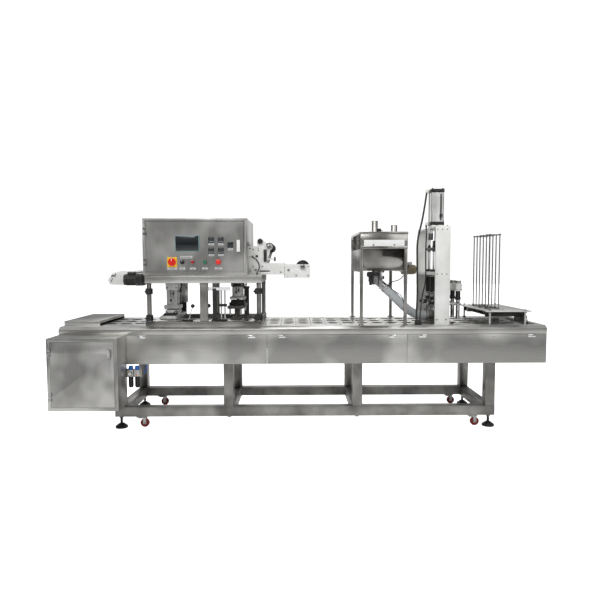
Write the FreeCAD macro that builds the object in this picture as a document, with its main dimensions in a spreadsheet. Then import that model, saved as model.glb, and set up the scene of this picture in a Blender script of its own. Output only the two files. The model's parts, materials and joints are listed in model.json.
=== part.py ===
import FreeCAD, Part
import math
import os
import re
import Sketcher
from FreeCAD import Placement, Rotation, Vector

# A cup filling and sealing machine, in millimetres.  Cups travel along -X on the carrier plates, -Y is the
# operator's side and +Z is up.  Every sub-part is drawn about the middle of the body, and its Placement then
# carries it back by shift_back, so that the origin is under the middle of the whole machine.

doc = FreeCAD.newDocument("cup_sealing_machine")

SIZES = {
    # body and frame
    "body_long": 4000, "body_deep": 840, "deck_height": 850, "tube_size": 80, "tube_wall": 4,
    "foot_height": 100, "leg_one": -1521, "leg_two": -622, "leg_three": 445, "leg_four": 1547,
    "rail_height": "=deck_height - 68", "panel_low": 540, "panel_tray": 19, "panel_gap": 2, "sheet_wall": 2,
    "rail_face": 46, "rail_slope_deep": 35, "rail_slope_drop": 22, "rail_inner": 315, "end_bar": 40,
    "foot_radius": 50, "foot_pad": 14, "stud_radius": 10, "latch_inset": 125, "latch_wide": 60,
    # casters
    "caster_left": -1350, "caster_right": 1408, "wheel_radius": 36, "wheel_wide": 24, "wheel_lift": 4,
    "caster_trail": 24, "plate_thick": 8, "kingpin_radius": 8, "axle_radius": 5, "run_fit": 0.05,
    "swivel_gap": 0.5,
    # conveyor
    "carrier_pitch": 127, "carrier_gap": 4, "carrier_thick": 6, "carrier_wide": 620, "lane_pitch": 165,
    "cup_hole": 49, "chain_tall": 16, "chain_strip": 3, "chain_slot": 12, "chain_side": 265,
    "sprocket_pitch": 81, "shaft_end": 1850, "shaft_radius": 20, "tooth_thick": 8, "bearing_thick": 30,
    "bearing_wide": 54, "drive_box": 130, "motor_radius": 56,
    # control cabinet
    "cabinet_wide": 550, "cabinet_deep": 235, "cabinet_low": 216, "cabinet_high": "=deck_height - 64",
    "door_border": 26,
    "door_gap": 2, "door_thick": 18, "hinge_radius": 6, "pin_radius": 3, "knuckle_tall": 60,
    # operator box on the station table
    "box_left": -1306, "box_wide": 847, "box_front": 400, "box_back": 300, "box_tall": 461,
    # sealing station
    "station_left": -1298, "station_right": -344, "table_low": "=deck_height + 354",
    "table_high": "=deck_height + 420", "table_plate": 16,
    "table_skirt": 5,
    "table_front": 390, "base_thick": 35, "post_side": 350, "post_radius": 19, "post_inset": 25,
    "clamp_radius": 30, "clamp_tall": 46, "nose_x": -1642, "seal_x": -1152, "cut_x": -577, "press_stroke": 25,
    "cylinder_side": 92, "press_wide": 135, "press_deep": 470, "press_thick": 23, "stamp_radius": 52,
    "rod_radius": 12.5,
    # film unit and waste rewinder
    "film_side": 260, "film_plate": 15, "roll_x": -4, "roll_z": "=deck_height + 483", "roll_radius": 58,
    "core_radius": 12, "feed_x": -284, "feed_z": "=deck_height + 650", "feed_radius": 38, "reel_x": -1352,
    "reel_z": "=deck_height + 381", "reel_radius": 46,
    # filling tower
    "tower_left": 1093, "tower_right": 1215, "tower_high": "=deck_height + 805", "tower_plate": 20, "tower_side": 345,
    "shelf_top": "=deck_height + 435", "shelf_thick": 25, "doser_x": 1162, "doser_radius": 29,
    "doser_low": "=deck_height + 241",
    "piston_stroke": 60, "big_cylinder_y": -130, "nozzle_x": 1335, "nozzle_low": "=deck_height + 29",
    # hopper
    "hopper_left": 464, "hopper_wide": 388, "hopper_front": 390, "hopper_back": 360,
    "hopper_low": "=deck_height + 449",
    "hopper_high": "=deck_height + 749", "trough_high": "=deck_height + 630", "trough_inset": 26, "hopper_wall": 3,
    "hopper_leg": 25,
    "lid_thick": 21, "stub_radius": 26.5,
    "agitator_z": "=deck_height + 492", "paddle_reach": 34, "valve_x": 629, "valve_y": -200, "valve_radius": 38,
    "hose_radius": 38, "hose_end_x": 1098, "hose_end_z": "=deck_height + 55",
    # cup dispenser
    "platform_left": 1509, "platform_wide": 380, "platform_side": 373, "platform_top": "=deck_height + 117",
    "platform_thick": 10, "magazine_x": 1630, "magazine_half": 42, "magazine_rod": 5,
    "magazine_tall": 632, "cup_rim": 54,
    # reach in front of and behind the middle of the body, for the origin
    "latch_proud": 17, "button_travel": 4,
}

sheet = doc.addObject("Spreadsheet::Sheet", "sizes")
for row, (alias, number) in enumerate(SIZES.items(), 1):
    sheet.set(f"A{row}", str(number))
    sheet.setAlias(f"A{row}", alias)
doc.recompute()

nodes = []


# ---- helpers ------------------------------------------------------------------------------------------------

def bound(text):
    """The expression, with every size read from the sheet."""
    return re.sub(r"[a-z_]{3,}", lambda word: f"sizes.{word.group()}", str(text))


def number(text):
    """What an expression comes to with the sheet as it stands."""
    return float(sheet.evalExpression(bound(text)))


def bind(piece, **sizes):
    for name, text in sizes.items():
        piece.setExpression(name, bound(text))
    return piece


def place(piece, at, turn=None):
    """Puts a piece at a point given as three expressions."""
    if turn:
        piece.Placement = Placement(Vector(), turn)
    for axis, text in zip("xyz", at):
        piece.setExpression(f"Placement.Base.{axis}", bound(text))
    return piece


TURNS = {"x": Rotation(Vector(0, 1, 0), 90), "y": Rotation(Vector(1, 0, 0), -90), "z": Rotation()}


def block(low, high):
    """A box between two corners."""
    sizes = [f"({b}) - ({a})" for a, b in zip(low, high)]
    piece = bind(doc.addObject("Part::Box", "block"), Length=sizes[0], Width=sizes[1], Height=sizes[2])
    return place(piece, low)


def brick(middle, size):
    """A box about its middle."""
    low = [f"({m}) - ({s})/2" for m, s in zip(middle, size)]
    high = [f"({m}) + ({s})/2" for m, s in zip(middle, size)]
    return block(low, high)


def rod(axis, at, radius, length):
    """A cylinder that starts at a point and runs up an axis."""
    piece = bind(doc.addObject("Part::Cylinder", "rod"), Radius=radius, Height=length)
    return place(piece, at, TURNS[axis])



def group(*pieces):
    piece = doc.addObject("Part::Compound", "group")
    piece.Links = list(pieces)
    return piece


def cut(base, *tools):
    piece = doc.addObject("Part::Cut", "cut")
    piece.Base = base
    piece.Tool = tools[0] if len(tools) == 1 else group(*tools)
    return piece


def fuse(*pieces):
    piece = doc.addObject("Part::MultiFuse", "fuse")
    piece.Shapes = list(pieces)
    return piece


def copy(piece, at):
    """The same piece again, moved by three expressions."""
    link = doc.addObject("App::Link", "copy")
    link.LinkedObject = piece
    link.LinkTransform = True
    return place(link, at)


def ring(axis, at, radius, bore, length):
    """A tube round an axis, open at both ends."""
    start = list(at)
    start["xyz".index(axis)] = f"({start['xyz'.index(axis)]}) - 1"
    return cut(rod(axis, at, radius, length), rod(axis, start, bore, f"({length}) + 2"))


def square_tube(axis, middle, length):
    """A length of the frame's square tube, open at its ends."""
    outer = ["tube_size"] * 3
    inner = ["tube_size - 2*tube_wall"] * 3
    outer["xyz".index(axis)] = length
    inner["xyz".index(axis)] = f"({length}) + 2"
    return cut(brick(middle, outer), brick(middle, inner))


def plane_of(body, role):
    return next(feature for feature in body.Origin.OriginFeatures if feature.Role == role)


def sketched(body, role, outline, circles=()):
    """A closed outline of straight runs, with round holes, on one of the body's own planes."""
    sketch = body.newObject("Sketcher::SketchObject", "outline")
    sketch.AttachmentSupport = [(plane_of(body, role), "")]
    sketch.MapMode = "FlatFace"
    corners = [Vector(number(a), number(b), 0) for a, b in outline]
    for here, there in zip(corners, corners[1:] + corners[:1]):
        sketch.addGeometry(Part.LineSegment(here, there), False)
    for side in range(len(corners)):
        sketch.addConstraint(Sketcher.Constraint("Coincident", side, 2, (side + 1) % len(corners), 1))
    points = [(side, 1, pair) for side, pair in enumerate(outline)]
    for across, up, radius in circles:
        middle = Vector(number(across), number(up), 0)
        hole = sketch.addGeometry(Part.Circle(middle, Vector(0, 0, 1), number(radius)), False)
        points.append((hole, 3, (across, up)))
        fixed = sketch.addConstraint(Sketcher.Constraint("Radius", hole, number(radius)))
        sketch.setExpression(f"Constraints[{fixed}]", bound(radius))
    for shape, point, pair in points:
        for kind, text in zip(("DistanceX", "DistanceY"), pair):
            fixed = sketch.addConstraint(Sketcher.Constraint(kind, -1, 1, shape, point, number(text)))
            sketch.setExpression(f"Constraints[{fixed}]", bound(text))
    return sketch


def prism(axis, start, length, outline, circles=()):
    """A padded outline: its two coordinates are the other two axes, in X, Y, Z order."""
    body = doc.addObject("PartDesign::Body", "prism")
    role = {"x": "YZ_Plane", "y": "XZ_Plane", "z": "XY_Plane"}[axis]
    pad = body.newObject("PartDesign::Pad", "pad")
    pad.Profile = sketched(body, role, outline, circles)
    pad.Reversed = axis == "y"
    bind(pad, Length=length)
    at = ["0", "0", "0"]
    at["xyz".index(axis)] = start
    return place(body, at)


def turned(axis, at, outline):
    """An outline of (radius, height) pairs, spun round an axis that starts at a point."""
    body = doc.addObject("PartDesign::Body", "turned")
    spin = body.newObject("PartDesign::Revolution", "spin")
    spin.Profile = sketched(body, "XZ_Plane", outline)
    spin.ReferenceAxis = (plane_of(body, "Z_Axis"), [""])
    spin.Angle = 360
    return place(body, at, TURNS[axis])


def node(name, *pieces):
    """One sub-part: its pieces under a label, set back to the machine's origin."""
    part = group(*pieces)
    part.Label = name
    part.setExpression("Placement.Base.y", bound(SHIFT_BACK))
    nodes.append(part)
    return part


# ---- places that several sub-parts share --------------------------------------------------------------------

LEFT, RIGHT = "-body_long/2", "body_long/2"
FRONT, BACK = "-body_deep/2", "body_deep/2"
FRAME_Y = "(body_deep/2 - panel_tray - tube_size/2)"
LEGS = ("leg_one", "leg_two", "leg_three", "leg_four")
RAIL_TOP = "(foot_height + tube_size)"
UPPER_MID = "(rail_height - tube_size/2)"
DECK_FLAT = "(body_deep/2 - rail_slope_deep)"
CHAIN_TOP = "(deck_height - carrier_thick)"
SHAFT_Z = "(deck_height - carrier_thick - chain_tall/2 - sprocket_pitch)"
RETURN_Z = f"({SHAFT_Z} - sprocket_pitch - chain_tall/2)"
LANES = ("-lane_pitch", "0", "lane_pitch")
SIDES = (-1, 1)
CABINET_RIGHT = f"({LEFT} + cabinet_wide)"
CABINET_FRONT = "(body_deep/2 + cabinet_deep)"
BOX_RIGHT = "(box_left + box_wide)"
BOX_TOP = "(table_high + box_tall)"
HOPPER_RIGHT = "(hopper_left + hopper_wide)"
HOPPER_MIDDLE = f"({HOPPER_RIGHT} + hopper_left)/2"
BASE_TOP = "(deck_height + base_thick)"
SHIFT_BACK = "(cabinet_deep + latch_proud - latch_wide/4)/2"
CASTER_TOP = "(foot_height - plate_thick)"
SPOUT_TILT = 42  # degrees below level


# ---- frame --------------------------------------------------------------------------------------------------

def base_frame():
    """Bottom rails with cross rails between them, and the casters' top plates with their kingpins."""
    middle, length = "(leg_one + leg_four)/2", "leg_four - leg_one + tube_size"
    height = "(foot_height + tube_size/2)"
    pieces = [square_tube("x", (middle, f"{side}*{FRAME_Y}", height), length) for side in SIDES]
    pieces += [square_tube("y", (leg, "0", height), f"2*{FRAME_Y} - tube_size") for leg in LEGS]
    for x in ("caster_left", "caster_right"):
        for side in SIDES:
            y = f"{side}*{FRAME_Y}"
            plate = brick((x, y, "foot_height - plate_thick/2"), ("76", "76", "plate_thick"))
            pin = rod("z", (x, y, "2*wheel_radius + wheel_lift + 4"), "kingpin_radius",
                      f"{CASTER_TOP} - 2*wheel_radius - wheel_lift - 3")
            pieces.append(fuse(plate, pin))
    node("base_frame", *pieces)


def upper_frame():
    """Eight legs, the long upper rails that they carry, and the cross tubes under the deck."""
    tall = f"rail_height - tube_size - {RAIL_TOP}"
    pieces = []
    for side in SIDES:
        y = f"{side}*{FRAME_Y}"
        pieces.append(square_tube("x", ("0", y, UPPER_MID), "body_long - 2*sheet_wall"))
        for leg in LEGS:
            pieces.append(square_tube("z", (leg, y, f"{RAIL_TOP} + ({tall})/2"), tall))
    for leg in LEGS:
        pieces.append(square_tube("y", (leg, "0", UPPER_MID), f"2*{FRAME_Y} - tube_size"))
    node("upper_frame", *pieces)


def levelling_feet():
    """Round pads on threaded studs, each with a lock nut under the rail."""
    outline = [("0", "0"), ("foot_radius", "0"), ("foot_radius", "foot_pad"),
               ("foot_radius*0.4", "foot_pad*2.6"), ("stud_radius", "foot_pad*2.6"),
               ("stud_radius", "foot_height - 16"), ("stud_radius*1.6", "foot_height - 16"),
               ("stud_radius*1.6", "foot_height"), ("0", "foot_height")]
    foot = turned("z", ("0", "0", "0"), outline)
    node("levelling_feet", *[copy(foot, (leg, f"{side}*{FRAME_Y}", "0"))
                             for leg in ("leg_one", "leg_four") for side in SIDES])


def casters():
    """Four swivel casters: a fork that turns on the kingpin and a wheel on the fork's axle."""
    places = [(x, side) for x in ("caster_left", "caster_right") for side in SIDES]
    wheel_z = "(wheel_lift + wheel_radius)"
    crown_low = "(2*wheel_radius + wheel_lift + 4)"
    for count, (x, side) in enumerate(places, 1):
        y = f"{side}*{FRAME_Y}"
        axle_x = f"({x} + caster_trail)"
        crown_tall = f"({CASTER_TOP} - swivel_gap - {crown_low})"
        crown = brick((f"{x} + 6", y, f"{crown_low} + {crown_tall}/2"), ("64", "46", crown_tall))
        cheeks = [brick((axle_x, f"{y} + {hand}*(wheel_wide/2 + 4)", f"({wheel_z} - 10 + {crown_low} + 2)/2"),
                        ("26", "4", f"{crown_low} - {wheel_z} + 12")) for hand in SIDES]
        axle = rod("y", (axle_x, f"{y} - wheel_wide/2 - 9", wheel_z), "axle_radius", "wheel_wide + 18")
        bore = rod("z", (x, y, f"{crown_low} - 5"), "kingpin_radius + run_fit", "40")
        node(f"caster_fork_{count}", cut(fuse(crown, *cheeks, axle), bore))
        outline = [("axle_radius + run_fit", "0"), ("axle_radius + 8", "0"), ("wheel_radius - 9", "4"),
                   ("wheel_radius - 3", "0"), ("wheel_radius", "4"), ("wheel_radius", "wheel_wide - 4"),
                   ("wheel_radius - 3", "wheel_wide"), ("wheel_radius - 9", "wheel_wide - 4"),
                   ("axle_radius + 8", "wheel_wide"), ("axle_radius + run_fit", "wheel_wide")]
        node(f"caster_wheel_{count}", turned("y", (axle_x, f"{y} - wheel_wide/2", wheel_z), outline))


# ---- panels -------------------------------------------------------------------------------------------------

def tray(x_low, x_high, side):
    """A folded sheet panel, open towards the frame."""
    outer_y, inner_y = "body_deep/2", "body_deep/2 - panel_tray"
    ys = (f"-({outer_y})", f"-({inner_y})") if side < 0 else (inner_y, outer_y)
    outer = block((x_low, ys[0], "panel_low"), (x_high, ys[1], "rail_height - panel_gap"))
    if side < 0:
        hollow_y = (f"{ys[0]} + sheet_wall", f"{ys[1]} + 1")
    else:
        hollow_y = (f"{ys[0]} - 1", f"{ys[1]} - sheet_wall")
    inner = block((f"{x_low} + sheet_wall", hollow_y[0], "panel_low + sheet_wall"),
                  (f"{x_high} - sheet_wall", hollow_y[1], "rail_height - panel_gap - sheet_wall"))
    return cut(outer, inner)


def panels():
    """Three lift-off panels at the front beside the blank panel behind the cabinet, and the same behind."""
    third = f"(({RIGHT}) - {CABINET_RIGHT})/3"
    for name, side in (("front_panels", -1), ("rear_panels", 1)):
        pieces = [tray(LEFT, f"{CABINET_RIGHT} - panel_gap", side)]
        for count in range(3):
            low = f"({CABINET_RIGHT} + {count}*{third})"
            pieces.append(tray(low, f"({low} + {third} - panel_gap)", side))
        if side > 0:
            inner_y = "(body_deep/2 - panel_tray)"
            for end in SIDES:
                x = f"{end}*(body_long/2 - sheet_wall/2)"
                pieces.append(brick((x, "0", "(panel_low + rail_height - panel_gap)/2"),
                                    ("sheet_wall", f"2*{inner_y}", "rail_height - panel_gap - panel_low")))
        node(name, *pieces)


def panel_latches():
    """Wing latches near the top corners of each lift-off panel."""
    third = f"(({RIGHT}) - {CABINET_RIGHT})/3"
    pieces = []
    for side in SIDES:
        for count in range(3):
            for x in (f"({CABINET_RIGHT} + {count}*{third} + latch_inset)",
                      f"({CABINET_RIGHT} + {count + 1}*{third} - panel_gap - latch_inset)"):
                y = f"{side}*(body_deep/2 + latch_wide/16)"
                plate = brick((x, y, "rail_height - 16"), ("latch_wide", "latch_wide/8", "24"))
                hub_y = f"{side}*(body_deep/2 + latch_wide*3/16)"
                pieces.append(fuse(plate, brick((x, hub_y, "rail_height - 16"),
                                                ("latch_wide*0.4", "latch_wide/8", "12"))))
    node("panel_latches", *pieces)


def deck_rails():
    """The bevelled rails along both sides of the deck, closed by a bar at each end."""
    outer, flat = "body_deep/2", DECK_FLAT
    pieces = []
    for side in SIDES:
        outline = [(f"{side}*rail_inner", "rail_height"), (f"{side}*{outer}", "rail_height"),
                   (f"{side}*{outer}", "deck_height - rail_slope_drop"), (f"{side}*{flat}", "deck_height"),
                   (f"{side}*rail_inner", "deck_height")]
        pieces.append(prism("x", LEFT, "body_long", outline))
        low = f"{side}*(body_long/2 - end_bar/2)"
        pieces.append(brick((low, "0", "(rail_height + deck_height)/2"),
                            ("end_bar", "2*rail_inner", "deck_height - rail_height")))
    node("deck_rails", *pieces)


def discharge_cover():
    """A sheet hood over the discharge end, open towards the stations and underneath."""
    low_x, high_x = f"{LEFT} + 15", f"{LEFT} + 310"
    outer = block((low_x, "-rail_inner - 18", "deck_height"), (high_x, "rail_inner + 18", "deck_height + 40"))
    inner = block((f"{low_x} + sheet_wall", "-rail_inner - 18 + 2*sheet_wall", "deck_height - 1"),
                  (f"{high_x} + 1", "rail_inner + 18 - 2*sheet_wall", "deck_height + 40 - sheet_wall"))
    lip = block((f"{high_x} - sheet_wall", "-rail_inner - 16", "deck_height + 20"),
                (high_x, "rail_inner + 16", "deck_height + 39"))
    node("discharge_cover", fuse(cut(outer, inner), lip))


# ---- conveyor -----------------------------------------------------------------------------------------------

CARRIERS = 28


def carrier_run(name, first_x, plate_low, strip_low):
    """Punched plates side by side on the two pairs of chain side bars."""
    half = "(carrier_pitch - carrier_gap)/2"
    outline = [(f"-{half}", "-carrier_wide/2"), (half, "-carrier_wide/2"),
               (half, "carrier_wide/2"), (f"-{half}", "carrier_wide/2")]
    plate = prism("z", "0", "carrier_thick", outline, [("0", lane, "cup_hole") for lane in LANES])
    plates = [copy(plate, (f"{first_x} + {count}*carrier_pitch", "0", plate_low)) for count in range(CARRIERS)]
    long = f"{CARRIERS}*carrier_pitch - carrier_gap"
    middle = f"{first_x} + {CARRIERS - 1}*carrier_pitch/2"
    strips = [brick((middle, f"{side}*chain_side + {hand}*(chain_slot + chain_strip)/2",
                     f"{strip_low} + chain_tall/2"), (long, "chain_strip", "chain_tall"))
              for side in SIDES for hand in SIDES]
    node(name, *plates, *strips)


def conveyor():
    run = f"({CARRIERS - 1}*carrier_pitch)"
    carrier_run("carrier_plates", f"(-{run}/2 + carrier_pitch/2)", CHAIN_TOP, f"{CHAIN_TOP} - chain_tall")
    carrier_run("return_plates", f"(-{run}/2 - carrier_pitch/2)", f"{RETURN_Z} - carrier_thick", RETURN_Z)


def sprocket(at):
    """A toothed disc for 5/8 inch chain, as a flat-sided outline padded along Y."""
    teeth = 32
    root, tip = number("sprocket_pitch - 6"), number("sprocket_pitch + 4")
    step = 2 * math.pi / teeth
    points = []
    for tooth in range(teeth):
        for part, reach in ((-0.36, root), (-0.16, tip), (0.16, tip), (0.36, root)):
            turn = (tooth + part) * step
            points.append(Vector(reach * math.cos(turn), 0, reach * math.sin(turn)))
    face = Part.Face(Part.makePolygon(points + points[:1]))
    piece = doc.addObject("Part::Feature", "sprocket")
    piece.Shape = face.extrude(Vector(0, number("tooth_thick"), 0))
    return place(piece, at)


def shafts():
    """The drive shaft and the tail shaft, each with its pair of sprockets."""
    inside = "(body_deep/2 - panel_tray - tube_size)"
    for name, end in (("drive_shaft", "-shaft_end"), ("tail_shaft", "shaft_end")):
        shaft = rod("y", (end, f"-({inside} - 1)", SHAFT_Z), "shaft_radius", f"2*{inside} - 2")
        wheels = [sprocket((end, f"{side}*chain_side - tooth_thick/2", SHAFT_Z)) for side in SIDES]
        node(name, fuse(shaft, *wheels))


def bearing_blocks():
    inside = "(body_deep/2 - panel_tray - tube_size)"
    pieces = []
    for end in ("-shaft_end", "shaft_end"):
        for side in SIDES:
            y = f"{side}*({inside} - bearing_thick/2)"
            housing = brick((end, y, SHAFT_Z), ("bearing_wide", "bearing_thick", "bearing_wide"))
            bore = rod("y", (end, f"{y} - bearing_thick", SHAFT_Z), "shaft_radius + run_fit", "2*bearing_thick")
            pieces.append(cut(housing, bore))
    node("bearing_blocks", *pieces)


def gearmotors():
    """The conveyor's shaft-mounted gear unit, the waste reel's motor and the agitator's motor."""
    drive = brick(("-shaft_end", "-60", SHAFT_Z), ("drive_box", "110", "drive_box"))
    bore = rod("y", ("-shaft_end", "-120", SHAFT_Z), "shaft_radius + run_fit", "120")
    motor = rod("x", ("-shaft_end + drive_box/2", "-60", SHAFT_Z), "motor_radius",
                "shaft_end + leg_one - tube_size/2 - drive_box/2")
    pieces = [cut(drive, bore), motor]
    reel_box = block(("reel_x - 28", "-(film_side + 100)", "reel_z - 48"), ("reel_x + 28", "-film_side", "reel_z + 48"))
    reel_motor = rod("x", ("reel_x - 132", "-(film_side + 50)", "reel_z"), "motor_radius - 11", "106")
    pieces.append(fuse(reel_box, reel_motor))
    side_x = f"({HOPPER_RIGHT} - trough_inset)"
    stir_box = block((side_x, "-45", "agitator_z - 50"), (f"{side_x} + 52", "45", "agitator_z + 42"))
    stir_motor = rod("x", (f"{side_x} + 50", "0", "agitator_z - 36"), "motor_radius - 15", "116")
    pieces.append(fuse(stir_box, stir_motor))
    node("gearmotors", *pieces)


# ---- control cabinet ----------------------------------------------------------------------------------------

def knuckles(x, y, z_places, part):
    """Hinge knuckles round a pin: part picks the door's middle sleeve, or the frame's two ends and pin."""
    pieces = []
    for z in z_places:
        if part == "door":
            pieces.append(ring("z", (x, y, f"{z} - knuckle_tall/6"), "hinge_radius", "pin_radius + run_fit",
                               "knuckle_tall/3 - 0.5"))
        else:
            pin = rod("z", (x, y, f"{z} - knuckle_tall/2"), "pin_radius", "knuckle_tall")
            ends = [rod("z", (x, y, f"{z} + {low}"), "hinge_radius", "knuckle_tall/3 - 0.5")
                    for low in ("knuckle_tall/6 + 0.25", "-knuckle_tall/2")]
            pieces.append(fuse(pin, *ends))
    return pieces


def door_slab(x_low, x_high, front_y, z_low, z_high):
    """A folded door, flush with the front, its edges turned back."""
    back_y = f"{front_y} + door_thick"
    outer = block((x_low, front_y, z_low), (x_high, back_y, z_high))
    inner = block((f"{x_low} + sheet_wall", f"{front_y} + sheet_wall", f"{z_low} + sheet_wall"),
                  (f"{x_high} - sheet_wall", f"{back_y} + 1", f"{z_high} - sheet_wall"))
    return cut(outer, inner)


CABINET_DOOR_LEFT = f"({LEFT} + door_border + door_gap)"
CABINET_DOOR_RIGHT = f"({CABINET_RIGHT} - door_border - door_gap)"
CABINET_HINGE_Y = f"(-{CABINET_FRONT} - hinge_radius)"
CABINET_HINGES = ("(cabinet_low + 110)", "(cabinet_high - 110)")
CABINET_LATCH_X = f"({CABINET_DOOR_RIGHT} - 36)"
CABINET_LATCH_Z = "(cabinet_high - 120)"


def cabinet():
    """The wall cabinet hung on the front: shell, inside mounting plate with switchgear, door and latch."""
    outer = block((LEFT, f"-{CABINET_FRONT}", "cabinet_low"), (CABINET_RIGHT, FRONT, "cabinet_high"))
    room = block((f"{LEFT} + sheet_wall", f"-{CABINET_FRONT} + sheet_wall", "cabinet_low + sheet_wall"),
                 (f"{CABINET_RIGHT} - sheet_wall", f"{FRONT} - sheet_wall", "cabinet_high - sheet_wall"))
    mouth = block((f"{LEFT} + door_border", f"-{CABINET_FRONT} - 1", "cabinet_low + door_border"),
                  (f"{CABINET_RIGHT} - door_border", f"-{CABINET_FRONT} + sheet_wall + 1",
                   "cabinet_high - door_border"))
    gland = rod("z", (f"{LEFT} + 90", f"{FRONT} - 80", "cabinet_low - 28"), "17", "28")
    node("cabinet_shell", cut(outer, room, mouth), gland)

    plate_back = f"({FRONT} - sheet_wall)"
    plate = block((f"{LEFT} + 40", f"{plate_back} - 3", "cabinet_low + 40"),
                  (f"{CABINET_RIGHT} - 40", plate_back, "cabinet_high - 40"))
    gear_back = f"({plate_back} - 3)"
    gear = []
    for row, (count, tall, deep) in enumerate(((5, 90, 75), (6, 80, 60), (3, 110, 120))):
        step = f"(cabinet_wide - 120)/{count}"
        z_low = f"(cabinet_low + 60 + {row}*(cabinet_high - cabinet_low - 120)/3)"
        for column in range(count):
            x_low = f"({LEFT} + 60 + {column}*{step})"
            gear.append(block((x_low, f"{gear_back} - {deep}", z_low),
                              (f"{x_low} + {step} - 8", gear_back, f"{z_low} + {tall}")))
    node("control_gear", plate, *gear)

    slab = door_slab(CABINET_DOOR_LEFT, CABINET_DOOR_RIGHT, f"-{CABINET_FRONT}",
                     "cabinet_low + door_border + door_gap", "cabinet_high - door_border - door_gap")
    hole = rod("y", (CABINET_LATCH_X, f"-{CABINET_FRONT} - 5", CABINET_LATCH_Z), "9 + run_fit", "40")
    sleeves = knuckles(f"{CABINET_DOOR_LEFT} - 1", CABINET_HINGE_Y, CABINET_HINGES, "door")
    leaves = [block((f"{CABINET_DOOR_LEFT} + 5.5", f"-{CABINET_FRONT} - 2", f"{z} - knuckle_tall/6"),
                    (f"{CABINET_DOOR_LEFT} + 24", f"-{CABINET_FRONT}", f"{z} + knuckle_tall/6 - 0.5"))
              for z in CABINET_HINGES]
    arms = [block((f"{CABINET_DOOR_LEFT} + hinge_radius - 2", f"{CABINET_HINGE_Y} - 1", f"{z} - knuckle_tall/6"),
                  (f"{CABINET_DOOR_LEFT} + hinge_radius + 1", f"-{CABINET_FRONT}", f"{z} + knuckle_tall/6 - 0.5"))
            for z in CABINET_HINGES]
    node("cabinet_door", fuse(cut(slab, hole), *sleeves, *leaves, *arms))

    stem = rod("y", (CABINET_LATCH_X, f"-{CABINET_FRONT} - 6", CABINET_LATCH_Z), "9", "door_thick + 12")
    handle = brick((CABINET_LATCH_X, f"-{CABINET_FRONT} - latch_proud + 7", CABINET_LATCH_Z), ("22", "14", "70"))
    tongue = brick((CABINET_LATCH_X, f"-{CABINET_FRONT} + door_thick + 5", f"{CABINET_LATCH_Z}"),
                   ("14", "3", "30"))
    node("cabinet_latch", fuse(stem, handle, tongue))


# ---- operator box -------------------------------------------------------------------------------------------

BOX_DOOR_LEFT = "(box_left + door_border + door_gap)"
BOX_DOOR_RIGHT = f"({BOX_RIGHT} - door_border - door_gap)"
BOX_HINGE_Y = "(-box_front - hinge_radius)"
BOX_HINGES = ("(table_high + 105)", f"({BOX_TOP} - 105)")
BOX_LATCH_X = f"({BOX_DOOR_RIGHT} - 40)"
BOX_LATCH_Z = "(table_high + 236)"
SCREEN = ("(box_left + 363)", "(table_high + 257)")
CONTROLLERS = (("(box_left + 557)", "(table_high + 285)"), ("(box_left + 635)", "(table_high + 285)"),
               ("(box_left + 557)", "(table_high + 198)"), ("(box_left + 635)", "(table_high + 198)"),
               ("(box_left + 712)", "(table_high + 245)"))
SWITCH_Z = "(table_high + 106)"
MAIN_SWITCH_X, SELECTOR_X = "(box_left + 238)", "(box_left + 321)"
RED_X, GREEN_X, EMERGENCY_X = "(box_left + 405)", "(box_left + 504)", "(box_left + 614)"
DOOR_FACE = "(-box_front)"


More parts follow.
